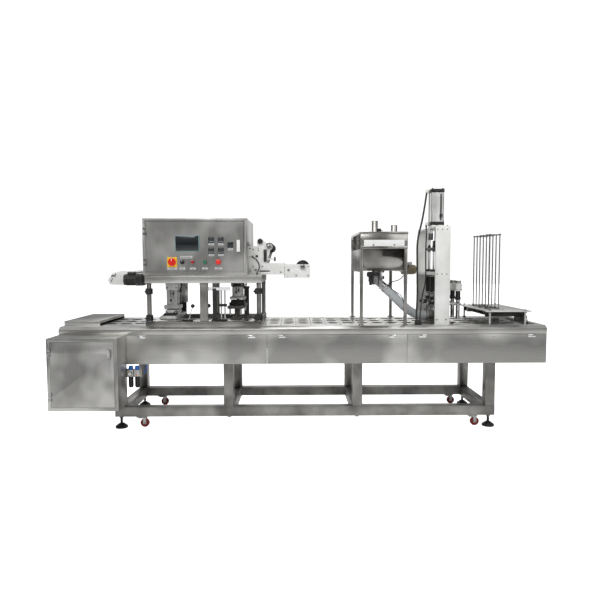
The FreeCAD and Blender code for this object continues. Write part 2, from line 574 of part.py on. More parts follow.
def operator_box():
    """The stainless box on the station table, its hinged door, and what the door carries."""
    outer = block(("box_left", DOOR_FACE, "table_high"), (BOX_RIGHT, "box_back", BOX_TOP))
    room = block(("box_left + sheet_wall", f"{DOOR_FACE} + sheet_wall", "table_high + sheet_wall"),
                 (f"{BOX_RIGHT} - sheet_wall", "box_back - sheet_wall", f"{BOX_TOP} - sheet_wall"))
    mouth = block(("box_left + door_border", f"{DOOR_FACE} - 1", "table_high + door_border"),
                  (f"{BOX_RIGHT} - door_border", f"{DOOR_FACE} + sheet_wall + 1", f"{BOX_TOP} - door_border"))
    node("operator_box", cut(outer, room, mouth))

    slab = door_slab(BOX_DOOR_LEFT, BOX_DOOR_RIGHT, DOOR_FACE, "table_high + door_border + door_gap",
                     f"{BOX_TOP} - door_border - door_gap")
    bores = [(MAIN_SWITCH_X, SWITCH_Z, "8"), (SELECTOR_X, SWITCH_Z, "8"), (RED_X, SWITCH_Z, "10"),
             (GREEN_X, SWITCH_Z, "10"), (EMERGENCY_X, SWITCH_Z, "10"), (BOX_LATCH_X, BOX_LATCH_Z, "8")]
    holes = [rod("y", (x, f"{DOOR_FACE} - 5", z), f"{radius} + run_fit", "40") for x, z, radius in bores]
    holes += [brick((x, f"{DOOR_FACE} + 2", z), ("44.2", "12", "44.2")) for x, z in CONTROLLERS]
    holes.append(brick((SCREEN[0], f"{DOOR_FACE} + 2", SCREEN[1]), ("170.2", "12", "106.2")))
    sleeves = knuckles(f"{BOX_DOOR_LEFT} - 1", BOX_HINGE_Y, BOX_HINGES, "door")
    leaves = [block((f"{BOX_DOOR_LEFT} + 5.5", f"{DOOR_FACE} - 2", f"{z} - knuckle_tall/6"),
                    (f"{BOX_DOOR_LEFT} + 24", DOOR_FACE, f"{z} + knuckle_tall/6 - 0.5")) for z in BOX_HINGES]
    arms = [block((f"{BOX_DOOR_LEFT} + hinge_radius - 2", f"{BOX_HINGE_Y} - 1", f"{z} - knuckle_tall/6"),
                  (f"{BOX_DOOR_LEFT} + hinge_radius + 1", DOOR_FACE, f"{z} + knuckle_tall/6 - 0.5")) for z in BOX_HINGES]
    node("operator_door", fuse(cut(slab, *holes), *sleeves, *leaves, *arms))

    bezel = block((f"{SCREEN[0]} - 95", f"{DOOR_FACE} - 8", f"{SCREEN[1]} - 62"),
                  (f"{SCREEN[0]} + 95", DOOR_FACE, f"{SCREEN[1]} + 62"))
    housing = brick((SCREEN[0], f"{DOOR_FACE} + 20", SCREEN[1]), ("170", "40", "106"))
    pieces = [fuse(bezel, housing)]
    for x, z in CONTROLLERS:
        front = brick((x, f"{DOOR_FACE} - 3", z), ("48", "6", "48"))
        pieces.append(fuse(front, brick((x, f"{DOOR_FACE} + 40", z), ("44", "80", "44"))))
        pieces.append(brick((x, f"{DOOR_FACE} - 1", f"{z} - 36"), ("44", "2", "16")))
    for x, wide in ((MAIN_SWITCH_X, 80), (SELECTOR_X, 46), (RED_X, 46), (GREEN_X, 46), (EMERGENCY_X, 60)):
        pieces.append(brick((x, f"{DOOR_FACE} - 1", f"{SWITCH_Z} - 52"), (str(wide), "2", "16")))
    plate = brick((MAIN_SWITCH_X, f"{DOOR_FACE} - 1.5", SWITCH_Z), ("80", "3", "80"))
    pieces.append(cut(plate, rod("y", (MAIN_SWITCH_X, f"{DOOR_FACE} - 5", SWITCH_Z), "8 + run_fit", "10")))
    pieces.append(brick((f"({SELECTOR_X} + 32)", f"{DOOR_FACE} - 1", f"{SWITCH_Z} + 40"), ("100", "2", "20")))
    collars = [(SELECTOR_X, "8"), (RED_X, "10"), (GREEN_X, "10"), (EMERGENCY_X, "10")]
    pieces += [ring("y", (x, f"{DOOR_FACE} - 5", SWITCH_Z), "16", f"{bore} + run_fit", "5") for x, bore in collars]
    node("door_instruments", *pieces)

    main_stem = rod("y", (MAIN_SWITCH_X, f"{DOOR_FACE} - 4", SWITCH_Z), "8", "40")
    main_disc = rod("y", (MAIN_SWITCH_X, f"{DOOR_FACE} - 14", SWITCH_Z), "32", "10")
    main_grip = brick((MAIN_SWITCH_X, f"{DOOR_FACE} - 21", SWITCH_Z), ("16", "16", "58"))
    node("main_switch_knob", fuse(main_stem, main_disc, main_grip))
    select_stem = rod("y", (SELECTOR_X, f"{DOOR_FACE} - 6", SWITCH_Z), "8", "40")
    select_disc = rod("y", (SELECTOR_X, f"{DOOR_FACE} - 14", SWITCH_Z), "17", "8")
    select_grip = brick((SELECTOR_X, f"{DOOR_FACE} - 19", SWITCH_Z), ("8", "12", "34"))
    node("selector_switch", fuse(select_stem, select_disc, select_grip))
    proud = "(button_travel + 6)"
    for name, x, head in (("red_button", RED_X, "13"), ("green_button", GREEN_X, "13")):
        stem = rod("y", (x, f"{DOOR_FACE} - {proud} - 2", SWITCH_Z), "10", f"{proud} + 32")
        cap = rod("y", (x, f"{DOOR_FACE} - {proud} - 6", SWITCH_Z), head, "5")
        node(name, fuse(stem, cap))
    mushroom = [("0", "0"), ("12", "0"), ("20", "4"), ("22.5", "10"), ("20", "14"), ("10", "14"),
                ("10", "64"), ("0", "64")]
    node("emergency_button", turned("y", (EMERGENCY_X, f"{DOOR_FACE} - {proud} - 15", SWITCH_Z), mushroom))

    stem = rod("y", (BOX_LATCH_X, f"{DOOR_FACE} - 12", BOX_LATCH_Z), "8", "door_thick + 20")
    handle = brick((BOX_LATCH_X, f"{DOOR_FACE} - 16", BOX_LATCH_Z), ("26", "16", "96"))
    tongue = brick((BOX_LATCH_X, f"{DOOR_FACE} + door_thick + 6", BOX_LATCH_Z), ("14", "4", "36"))
    node("operator_latch", fuse(stem, handle, tongue))


def door_hinges():
    """Pins and frame knuckles of both doors, on their fixing leaves."""
    pieces = []
    for x, y, face, places in (
            (f"({CABINET_DOOR_LEFT} - 1)", CABINET_HINGE_Y, f"(-{CABINET_FRONT})", CABINET_HINGES),
            (f"({BOX_DOOR_LEFT} - 1)", BOX_HINGE_Y, DOOR_FACE, BOX_HINGES)):
        for z, barrel in zip(places, knuckles(x, y, places, "frame")):
            leaves = [block((f"{x} - 22", f"{face} - 2", low), (f"{x} - 3", face, f"{low} + knuckle_tall/3 - 0.5"))
                      for low in (f"({z} + knuckle_tall/6 + 0.25)", f"({z} - knuckle_tall/2)")]
            arms = [block((f"{x} - hinge_radius", f"{y}", low), (f"{x} - 3", face, f"{low} + knuckle_tall/3 - 0.5"))
                    for low in (f"({z} + knuckle_tall/6 + 0.25)", f"({z} - knuckle_tall/2)")]
            pieces.append(fuse(barrel, *leaves, *arms))
    node("door_hinges", *pieces)


# ---- sealing station ----------------------------------------------------------------------------------------

POST_XS = ("(station_left + post_inset)", "(station_right - post_inset)")
TABLE_UNDER = "(table_high - table_plate)"


def station_frame():
    """Base bars on the deck rails, four posts, a centre column each side, and the skirted table plate."""
    pieces = []
    for side in SIDES:
        y = f"{side}*post_side"
        pieces.append(brick(("(station_left + station_right)/2", y, "deck_height + base_thick/2"),
                            ("station_right - station_left", "64", "base_thick")))
        for x in POST_XS:
            pieces.append(rod("z", (x, y, BASE_TOP), "post_radius", f"{TABLE_UNDER} - {BASE_TOP}"))
        pieces.append(brick(("(station_left + station_right)/2", y, f"({BASE_TOP} + {TABLE_UNDER})/2"),
                            ("64", "40", f"{TABLE_UNDER} - {BASE_TOP}")))
    outer = block(("station_left", "-table_front", "table_low"), ("station_right", "table_front", "table_high"))
    inner = block(("station_left + table_skirt", "-table_front + table_skirt", "table_low - 1"),
                  ("station_right - table_skirt", "table_front - table_skirt", TABLE_UNDER))
    node("station_frame", *pieces, cut(outer, inner))


def post_clamps():
    """Split collars on the front posts, each with a star knob towards the middle of the station."""
    pieces = []
    for x, hand in zip(POST_XS, (1, -1)):
        for z in (f"({BASE_TOP} + 10)", "(table_low - 90)"):
            collar = ring("z", (x, "-post_side", z), "clamp_radius", "post_radius + run_fit", "clamp_tall")
            hub_x = f"{x} + clamp_radius - 2" if hand > 0 else f"{x} - clamp_radius - 12"
            stem = rod("x", (hub_x, "-post_side", f"{z} + clamp_tall/2"), "8", "14")
            knob_x = f"{x} + clamp_radius + 8" if hand > 0 else f"{x} - clamp_radius - 24"
            knob = rod("x", (knob_x, "-post_side", f"{z} + clamp_tall/2"), "19", "16")
            pieces.append(fuse(collar, stem, knob))
    node("post_clamps", *pieces)


HEADS = {
    # name: (x, flange low, body low, body high)
    "seal": ("seal_x", "(deck_height + 118)", "(deck_height + 148)", "(deck_height + 283)"),
    "cut": ("cut_x", "(deck_height + 203)", "(deck_height + 219)", "(deck_height + 310)"),
}


def air_cylinders():
    """The two press cylinders under the table and the dosing cylinder on the tower, bored for their rods."""
    pieces = []
    for x, flange_low, body_low, body_high in HEADS.values():
        crown = block((f"{x} - 55", "-55", body_high), (f"{x} + 55", "55", TABLE_UNDER))
        body = brick((x, "0", f"({body_low} + {body_high})/2"),
                     ("cylinder_side", "cylinder_side", f"{body_high} - {body_low}"))
        flange = brick((x, "0", f"({flange_low} + {body_low})/2"),
                       ("press_wide", "press_wide", f"{body_low} - {flange_low}"))
        chamber = rod("z", (x, "0", f"{body_low} + 8"), "cylinder_side/2 - 8", f"{body_high} - {body_low} - 16")
        gland = rod("z", (x, "0", f"{flange_low} - 1"), "rod_radius + run_fit", f"{body_low} - {flange_low} + 20")
        pieces.append(cut(fuse(crown, body, flange), chamber, gland))
    big_x, big_y = "(tower_left + tower_right)/2 - 8", "big_cylinder_y"
    low, high = BIG_LOW, BIG_HIGH
    caps = [block((f"{big_x} - 56", f"{big_y} - 56", z), (f"{big_x} + 56", f"{big_y} + 56", f"{z} + 30"))
            for z in (low, f"({high} - 30)")]
    body = block((f"{big_x} - 50", f"{big_y} - 50", f"{low} + 30"), (f"{big_x} + 50", f"{big_y} + 50", f"{high} - 30"))
    chamber = rod("z", (big_x, big_y, f"{low} + 30"), "42", f"{high} - {low} - 60")
    gland = rod("z", (big_x, big_y, f"{low} - 1"), "rod_radius + run_fit", "60")
    pieces.append(cut(fuse(body, *caps), chamber, gland))
    node("air_cylinders", *pieces)


def presses():
    """The heat-seal press and the trimming press: piston, rod, adapter block, cross plate and three tools."""
    tool_low = "(deck_height + press_stroke + 5)"
    for name, (x, flange_low, body_low, body_high) in HEADS.items():
        plate_high = f"({flange_low} - 51)"
        plate_low = f"({plate_high} - press_thick)"
        piston = rod("z", (x, "0", f"{body_high} - 30"), "cylinder_side/2 - 8 - run_fit", "20")
        stem = rod("z", (x, "0", f"{flange_low} - 10"), "rod_radius", f"{body_high} - {flange_low} - 12")
        adapter = brick((x, "0", f"{plate_high} + 20"), ("press_wide - 20", "press_wide", "40"))
        plate = brick((x, "0", f"({plate_low} + {plate_high})/2"), ("press_wide", "press_deep", "press_thick"))
        tools = []
        for lane in LANES:
            tools.append(rod("z", (x, lane, f"{tool_low} + 12"), "14", f"{plate_low} - {tool_low} - 12"))
            disc = rod("z", (x, lane, tool_low), "stamp_radius", "14")
            if name == "cut":
                disc = cut(disc, rod("z", (x, lane, f"{tool_low} - 1"), "stamp_radius - 5", "8"))
            tools.append(disc)
        node(f"{name}_press", fuse(piston, stem, adapter, plate, *tools))


# ---- film ---------------------------------------------------------------------------------------------------

def film_plates():
    """Side plates of the film unwinder and of the waste rewinder, with their tie bars and guide bars."""
    right = "roll_x + 62"
    step_x = "roll_x - 158"
    pieces = []
    for side in SIDES:
        start = "-film_side" if side < 0 else "film_side - film_plate"
        outline = [(BOX_RIGHT, "table_high"), (step_x, "table_high"), (step_x, "table_high - 28"),
                   (right, "table_high - 28"), (right, "table_high + 85"), (step_x, "table_high + 85"),
                   (step_x, "table_high + 96"), ("feed_x - 24", "table_high + 96"), ("feed_x + 8", "feed_z - 28"),
                   ("feed_x + 26", "feed_z - 8"), ("feed_x + 26", "feed_z + 12"), ("feed_x + 10", "feed_z + 28"),
                   ("feed_x - 30", "feed_z + 34"), ("feed_x - 62", "feed_z + 66"), ("feed_x - 96", "feed_z + 66"),
                   ("feed_x - 106", "feed_z + 40"), ("feed_x - 100", "feed_z + 8"), (BOX_RIGHT, "feed_z + 8")]
        holes = [("roll_x", "roll_z", "core_radius + run_fit"), ("feed_x", "feed_z", "core_radius + run_fit")]
        pieces.append(prism("y", start, "film_plate", outline, holes))
        nose = [("station_left", "table_low"), ("station_left", "table_high"), ("box_left", "table_high"),
                ("box_left", "table_high + 34"),
                ("nose_x + 131", "table_high + 34"), ("nose_x + 46", "table_high + 22"), ("nose_x", "reel_z - 6"),
                ("nose_x + 22", "reel_z - 42"), ("station_left - 60", "reel_z - 49"), ("station_left", "table_low - 22")]
        pieces.append(prism("y", start, "film_plate", nose[:-1],
                            [("reel_x", "reel_z", "core_radius + run_fit")]))
    inner = "film_side - film_plate"
    for x, z, radius in (("nose_x + 32", "reel_z - 10", "10"), ("nose_x + 150", "table_high - 12", "9"),
                         ("feed_x - 80", "feed_z + 40", "20"), (f"{BOX_RIGHT} + 60", "table_high + 40", "12"),
                         ("roll_x - 120", "roll_z - 26", "12")):
        pieces.append(rod("y", (x, f"-({inner})", z), radius, f"2*({inner})"))
    node("film_plates", *pieces)


def film_rolls():
    """The film roll on its core, the rubber-faced feed roller, and the waste reel with its end discs."""
    inner = "(film_side - film_plate)"
    for name, x, z, radius in (("film_roll", "roll_x", "roll_z", "roll_radius"),
                               ("feed_roller", "feed_x", "feed_z", "feed_radius")):
        shaft = rod("y", (x, "-film_side - 4", z), "core_radius", "2*film_side + 8")
        body = rod("y", (x, f"-({inner} - 6)", z), radius, f"2*{inner} - 12")
        hub = rod("y", (x, "-film_side - 22", z), "core_radius + 8", "20")
        node(name, fuse(shaft, body, hub))
    shaft = rod("y", ("reel_x", "-film_side + 1", "reel_z"), "core_radius", "2*film_side - 2")
    body = rod("y", ("reel_x", f"-({inner} - 30)", "reel_z"), "reel_radius - 14", f"2*{inner} - 60")
    discs = [rod("y", ("reel_x", y, "reel_z"), "reel_radius", "4") for y in (f"-({inner} - 26)", f"{inner} - 30")]
    node("waste_reel", fuse(shaft, body, *discs))


# ---- filling tower ------------------------------------------------------------------------------------------

TOWER_TOP = "(tower_high + 15)"
BIG_LOW = f"({TOWER_TOP} + 15)"
BIG_HIGH = f"({BIG_LOW} + 307)"
CROSSHEAD_Z = "(shelf_top + 190)"


def tower_frame():
    """Two side plates on the deck rails, joined by the top plate, the shelf and the nozzle bridge."""
    pieces = []
    for side in SIDES:
        y = f"{side}*(tower_side - tower_plate/2)"
        plate = block(("tower_left", f"{y} - tower_plate/2", "deck_height"),
                      ("tower_right", f"{y} + tower_plate/2", "tower_high"))
        arm = block(("tower_right - 10", f"{side}*lane_pitch/2 - 10", "nozzle_low + 250"),
                    ("nozzle_x - 20", f"{side}*lane_pitch/2 + 10", "nozzle_low + 300"))
        pieces += [plate, arm]
    inner = "tower_side - tower_plate"
    shelf = block(("tower_left", f"-({inner})", "shelf_top - shelf_thick"), ("tower_right", inner, "shelf_top"))
    shelf_holes = [rod("z", ("doser_x", lane, "shelf_top - 100"), "9", "200") for lane in LANES]
    top = block(("tower_left", "-tower_side", "tower_high"), ("tower_right", "tower_side", TOWER_TOP))
    big_x = "(tower_left + tower_right)/2 - 8"
    top_hole = rod("z", (big_x, "big_cylinder_y", "tower_high - 1"), "rod_radius + 6", "40")
    pad = block((f"{big_x} - 52", "big_cylinder_y - 60", TOWER_TOP), (f"{big_x} + 52", "big_cylinder_y + 60", BIG_LOW))
    pad_hole = rod("z", (big_x, "big_cylinder_y", f"{TOWER_TOP} - 1"), "rod_radius + 6", "40")
    crossbar = block(("tower_right - 20", f"-({inner})", "nozzle_low + 250"), ("tower_right", inner, "nozzle_low + 300"))
    bridge = block(("nozzle_x - 25", "-lane_pitch - 33", "nozzle_low + 244"),
                   ("nozzle_x + 25", "lane_pitch + 33", "nozzle_low + 306"))
    bridge_holes = [rod("z", ("nozzle_x", lane, "nozzle_low + 200"), "20", "140") for lane in LANES]
    node("tower_frame", fuse(*pieces, crossbar, cut(shelf, *shelf_holes), cut(top, top_hole),
                             cut(bridge, *bridge_holes)), cut(pad, pad_hole))


def dosing_units():
    """Three dosing cylinders hung from the shelf, their valve bodies, cross pipes and nozzles, on one manifold."""
    pieces = []
    shelf_low = "(shelf_top - shelf_thick)"
    for lane in LANES:
        outer = rod("z", ("doser_x", lane, "doser_low"), "doser_radius", f"{shelf_low} - doser_low")
        chamber = rod("z", ("doser_x", lane, "doser_low + 12"), "doser_radius - 5", f"{shelf_low} - doser_low - 20")
        mouth = rod("z", ("doser_x", lane, "doser_low + 20"), "8 + run_fit", f"{shelf_low} - doser_low")
        valve = rod("z", ("doser_x", lane, "hose_end_z + 40"), "23", "doser_low - hose_end_z - 40")
        pipe = rod("x", ("doser_x", lane, "nozzle_low + 132"), "13", "nozzle_x - doser_x")
        nozzle = rod("z", ("nozzle_x", lane, "nozzle_low"), "17", "430 - 190")
        sleeve = rod("z", ("nozzle_x", lane, "nozzle_low + 190"), "21", "54")
        spigot = rod("z", ("nozzle_x", lane, "nozzle_low + 240"), "20 - 0.1", "66")
        cap = rod("z", ("nozzle_x", lane, "nozzle_low + 306"), "24", "26")
        pieces.append(fuse(cut(outer, chamber, mouth), valve, pipe, nozzle, sleeve, spigot, cap))
    manifold = block(("doser_x - 32", "-lane_pitch - 40", "hose_end_z - 40"),
                     ("doser_x + 32", "lane_pitch + 40", "hose_end_z + 40"))
    spigot = rod("x", ("hose_end_x", "-lane_pitch/2", "hose_end_z"), "hose_radius - 4", "doser_x - 31 - hose_end_x")
    node("dosing_units", fuse(*pieces, manifold, spigot))


def dosing_pistons():
    """The big cylinder's piston, rod and clevis, the crosshead, and the three dosing rods with their pistons."""
    big_x, big_y = "(tower_left + tower_right)/2 - 8", "big_cylinder_y"
    stem = rod("z", (big_x, big_y, f"{CROSSHEAD_Z} + 30"), "rod_radius", f"{BIG_LOW} + 70 - {CROSSHEAD_Z}")
    piston = rod("z", (big_x, big_y, f"{BIG_LOW} + 80"), "41.5", "22")
    clevis = brick((big_x, big_y, f"{CROSSHEAD_Z} + 50"), ("44", "44", "60"))
    beam = block(("doser_x - 26", "-lane_pitch - 30", CROSSHEAD_Z),
                 ("tower_right - 12", "lane_pitch + 30", f"{CROSSHEAD_Z} + 24"))
    rods = []
    low = "(doser_low + 30)"
    for lane in LANES:
        rods.append(rod("z", ("doser_x", lane, low), "8", f"{CROSSHEAD_Z} - {low} + 5"))
        rods.append(rod("z", ("doser_x", lane, low), "doser_radius - 5 - run_fit", "16"))
    node("dosing_pistons", fuse(stem, piston, clevis, beam, *rods))


# ---- hopper -------------------------------------------------------------------------------------------------

def trough_shape(x_low, x_high, inset):
    """The tank's lower part: flat sides that turn in to a narrower floor, drawn across and padded along X."""
    front, back = f"-hopper_front + trough_inset + {inset}", f"hopper_back - trough_inset - {inset}"
    floor, top = f"hopper_low + {inset}", f"trough_high + 3 + {inset}"
    outline = [(front, top), (front, f"{floor} + 70"), (f"{front} + 12", f"{floor} + 34"),
               (f"{front} + 38", f"{floor} + 9"), (f"{front} + 70", floor), (f"{back} - 70", floor),
               (f"{back} - 38", f"{floor} + 9"), (f"{back} - 12", f"{floor} + 34"), (back, f"{floor} + 70"),
               (back, top)]
    return prism("x", x_low, f"{x_high} - ({x_low})", outline)


def hopper():
    """The product tank on four legs, with its hinged lid, agitator, outlet valve and delivery hose."""
    wall, floor_high = "hopper_wall", "(trough_high + hopper_wall)"
    sheets = []
    for y in ("-hopper_front", f"hopper_back - {wall}"):
        sheets.append(block(("hopper_left", y, "trough_high"), (HOPPER_RIGHT, f"{y} + {wall}", "hopper_high")))
    for x in ("hopper_left", f"{HOPPER_RIGHT} - {wall}"):
        sheets.append(block((x, f"-hopper_front + {wall}", "trough_high"),
                            (f"{x} + {wall}", f"hopper_back - {wall}", "hopper_high")))
    for low_y, high_y in ((f"-hopper_front + {wall}", "-hopper_front + trough_inset"),
                          ("hopper_back - trough_inset", f"hopper_back - {wall}")):
        sheets.append(block((f"hopper_left + {wall}", low_y, "trough_high"),
                            (f"{HOPPER_RIGHT} - {wall}", high_y, floor_high)))
    for low_x, high_x in ((f"hopper_left + {wall}", "hopper_left + trough_inset"),
                          (f"{HOPPER_RIGHT} - trough_inset", f"{HOPPER_RIGHT} - {wall}")):
        sheets.append(block((low_x, "-hopper_front + trough_inset", "trough_high"),
                            (high_x, "hopper_back - trough_inset", floor_high)))
    left, right = "hopper_left + trough_inset", f"{HOPPER_RIGHT} - trough_inset"
    trough = trough_shape(left, right, "0")
    trough_room = trough_shape(f"{left} + hopper_wall", f"{right} - hopper_wall", "hopper_wall")
    outlet = rod("z", ("valve_x", "valve_y", "hopper_low - 10"), "valve_radius - 10", "20")
    shaft_hole = rod("x", (f"{right} - 20", "0", "agitator_z"), "core_radius + run_fit", "40")
    ledge = block(("hopper_left + 4", "-hopper_front - 6", "trough_high"),
                  (f"{HOPPER_RIGHT} - 4", "-hopper_front", "trough_high + 19"))
    window = block(("hopper_left + 30", "-hopper_front - 3", "hopper_high - 97"),
                   (f"{HOPPER_RIGHT} - 27", "-hopper_front", "hopper_high - 46"))
    flange = block(("hopper_left + hopper_wall", "hopper_back - 36", "hopper_high - hopper_wall"),
                   (f"{HOPPER_RIGHT} - hopper_wall", "hopper_back - hopper_wall", "hopper_high"))
    hinge_y, hinge_z = "(hopper_back - 30)", "(hopper_high + 6.5)"
    leaf = block((f"{HOPPER_MIDDLE} - 60", f"{hinge_y} + 2", "hopper_high"),
                 (f"{HOPPER_MIDDLE} + 60", f"{hinge_y} + 22", "hopper_high + 4"))
    barrel = fuse(leaf, rod("x", (f"{HOPPER_MIDDLE} - 60", hinge_y, hinge_z), "6", "120"))
    node("hopper_tank", *sheets, cut(trough, trough_room, outlet, shaft_hole), ledge, window, flange, barrel)

    side_y = "(hopper_front - 18)"
    legs = []
    for x in ("(hopper_left + 12.5)", f"({HOPPER_RIGHT} - 12.5)"):
        for y in (f"(-{side_y})", "(hopper_back - 18)"):
            legs.append(brick((x, y, "(deck_height + trough_high)/2"),
                              ("hopper_leg", "hopper_leg", "trough_high - deck_height")))
    aprons = []
    for x in ("(hopper_left + 6)", f"({HOPPER_RIGHT} - 6 - hopper_wall)"):
        apron = block((x, f"-{side_y} + hopper_leg/2", "hopper_low - 9"),
                      (f"{x} + hopper_wall", "hopper_back - 18 - hopper_leg/2", "trough_high"))
        aprons.append(apron)
    drive_gap = block((f"{HOPPER_RIGHT} - 30", "-60", "hopper_low - 20"), (f"{HOPPER_RIGHT} + 10", "60", "trough_high - 60"))
    node("hopper_legs", *legs, aprons[0], cut(aprons[1], drive_gap))

    lid = block(("hopper_left - 4", "-hopper_front - 4", "hopper_high + 0.5"),
                (f"{HOPPER_RIGHT} + 4", "hopper_back - 30", "hopper_high + lid_thick"))
    stubs, holes = [], []
    for x, y, tall in (("hopper_left + 164", "-hopper_front + 330", "108"),
                       ("hopper_left + 308", "-hopper_front + 190", "62")):
        holes.append(rod("z", (x, y, "hopper_high - 5"), "stub_radius - 2", "lid_thick + 10"))
        stubs.append(ring("z", (x, y, "hopper_high + lid_thick"), "stub_radius", "stub_radius - 2", tall))
    notch = block((f"{HOPPER_MIDDLE} - 61", f"{hinge_y} - 8", "hopper_high"),
                  (f"{HOPPER_MIDDLE} + 61", f"{hinge_y} + 1", "hopper_high + lid_thick + 1"))
    knuckles = [rod("x", (start, hinge_y, hinge_z), "6", "60")
                for start in (f"{HOPPER_MIDDLE} - 121", f"{HOPPER_MIDDLE} + 61")]
    node("hopper_lid", fuse(cut(lid, notch, *holes), *stubs, *knuckles))

    long = "hopper_wide - 2*trough_inset - 2*hopper_wall - 30"
    start = "(hopper_left + trough_inset + hopper_wall + 15)"
    shaft = rod("x", (start, "0", "agitator_z"), "core_radius", f"{right} - {start} - 1")
    paddles = [brick((f"{start} + 20 + {count}*({long} - 40)/5", "0", "agitator_z"),
                     ("10", "2*paddle_reach" if count % 2 else "30", "30" if count % 2 else "2*paddle_reach"))
               for count in range(6)]
    node("agitator", fuse(shaft, *paddles))


def outlet_valve():
    """A butterfly valve under the tank and the elbow block that turns the flow into the hose."""
    low = "(hopper_low - 60)"
    body = rod("z", ("valve_x", "valve_y", low), "valve_radius", "60")
    bore = rod("z", ("valve_x", "valve_y", f"{low} - 1"), "valve_radius - 10", "62")
    stem_hole = rod("y", ("valve_x", "valve_y - valve_radius - 5", "hopper_low - 30"), "6 + run_fit", "valve_radius")
    elbow = rod("z", ("valve_x", "valve_y", "hopper_low - 116"), "valve_radius + 3", "56")
    spout = bind(doc.addObject("Part::Cylinder", "spout"), Radius="hose_radius - 4", Height="80")
    place(spout, ("valve_x", "valve_y", "hopper_low - 84"), Rotation(Vector(0, 1, 0), 90 + SPOUT_TILT))
    node("outlet_valve", cut(body, bore, stem_hole), fuse(elbow, spout))
    stem = rod("y", ("valve_x", "valve_y - valve_radius - 30", "hopper_low - 30"), "6", "valve_radius + 20")
    grip = brick(("valve_x - 40", "valve_y - valve_radius - 34", "hopper_low - 30"), ("110", "10", "24"))
    node("valve_handle", fuse(stem, grip))


# The hose's route, chosen by hand: on down the spout's slope, flattening out, and level into the manifold.
HOSE_ROUTE = [(688.53, -200, 1161.4), (732, -200, 1122.26), (778, -194, 1078), (824, -177, 1033), (872, -151, 990),
              (924, -124, 950), (980, -98, 920), (1040, -82.5, 905), (1098, -82.5, 905)]


def product_hose():
    """A thick hose of straight runs and tangent arcs along its route."""
    points = [Vector(*point) for point in HOSE_ROUTE]
    radius = number("hose_radius")
    edges, start = [], points[0]
    for before, corner, after in zip(points, points[1:], points[2:]):
        way_in, way_out = (corner - before), (after - corner)
        run = min(way_in.Length, way_out.Length)
        way_in.normalize()
        way_out.normalize()
        turn = way_in.getAngle(way_out)
        bend = 0.45 * run / math.tan(turn / 2)
        back = 0.45 * run
        print(f"hose bend {bend:.0f} mm, turn {math.degrees(turn):.0f} degrees")
        begin, finish = corner - way_in * back, corner + way_out * back
        inward = (way_out - way_in).normalize()
        middle = corner + inward * (bend / math.cos(turn / 2) - bend)
        edges.append(Part.LineSegment(start, begin).toShape())
        edges.append(Part.Arc(begin, middle, finish).toShape())
        start = finish
    edges.append(Part.LineSegment(start, points[-1]).toShape())
    path = Part.Wire(edges)
    ring_face = Part.Wire(Part.makeCircle(radius, points[0], points[1] - points[0]))
    tube = path.makePipeShell([ring_face], True, True)
    print(f"hose volume share {tube.Volume / (math.pi * radius ** 2 * path.Length):.4f}, length {path.Length:.0f}")
    piece = doc.addObject("Part::Feature", "hose")
    piece.Shape = tube
    node("product_hose", piece)


# ---- cup dispenser ------------------------------------------------------------------------------------------

def dispenser():
    """The magazine platform over the deck, its guide rods and rings, and the sliding cup separator."""
    low = "(platform_top - platform_thick)"
    right = "(platform_left + platform_wide)"
    table = block(("platform_left", "-platform_side", low), (right, "platform_side", "platform_top"))
    holes = [rod("z", ("magazine_x", lane, f"{low} - 1"), "cup_rim + 2", "platform_thick + 2") for lane in LANES]
    pieces = [cut(table, *holes)]
    for x in ("(platform_left + 41)", f"({right} - 44)"):
        for side in SIDES:
            pieces.append(rod("z", (x, f"{side}*(platform_side - 23)", "deck_height"), "8", f"{low} - deck_height"))
    guides = [brick(("magazine_x", f"{side}*(lane_pitch + 92)", f"{low} - 20"), ("170", "14", "40"))
              for side in SIDES]
    lips = [brick(("magazine_x", f"{side}*(lane_pitch + 85)", f"{low} - 45"), ("170", "28", "10"))
            for side in SIDES]
    node("dispenser_table", *pieces, *guides, *lips)

    rods = []
    for lane in LANES:
        for across in SIDES:
            for along in SIDES:
                spot = (f"magazine_x + {across}*magazine_half", f"{lane} + {along}*magazine_half", "platform_top")
                rods.append(spot)
    half = "(cup_rim + 6)"
    bars = [rod("z", spot, "magazine_rod", "magazine_tall") for spot in rods]
    rings = [ring("z", ("magazine_x", lane, "platform_top + magazine_tall"), f"{half} + 6", half, "6")
             for lane in LANES]
    feet = [ring("z", ("magazine_x", lane, "platform_top"), f"{half} + 8", f"{half} - 1", "8") for lane in LANES]
    node("magazine_rods", fuse(*bars, *rings, *feet))

    plate = brick(("magazine_x", "0", f"{low} - 36"), ("150", "2*lane_pitch + 160", "8"))
    holes = [rod("z", ("magazine_x + 4", lane, f"{low} - 50"), "cup_rim - 3", "30") for lane in LANES]
    node("cup_separator", cut(plate, *holes))


# ---- air preparation ----------------------------------------------------------------------------------------

def air_prep_unit():
    """Filter, regulator and lubricator in a row on a bracket beside the cabinet."""
    back = f"(-{FRAME_Y} - 10)"
    leg_right = "leg_one + tube_size/2"
    bracket = block((leg_right, f"{back} - 20", "430"), (f"{leg_right} + 140", f"{back} - 14", "500"))
    pieces = [bracket]
    for count in range(2):
        x = f"({leg_right} + 62 + {count}*52)"
        head = brick((x, f"{back} - 43", "470"), ("46", "46", "52"))
        bowl = turned("z", (x, f"{back} - 43", "350"), [("0", "0"), ("14", "0"), ("20", "14"), ("20", "94"), ("0", "94")])
        knob = rod("z", (x, f"{back} - 43", "496"), "17", "32")
        pieces.append(fuse(head, bowl, knob))
    node("air_prep_unit", *pieces)


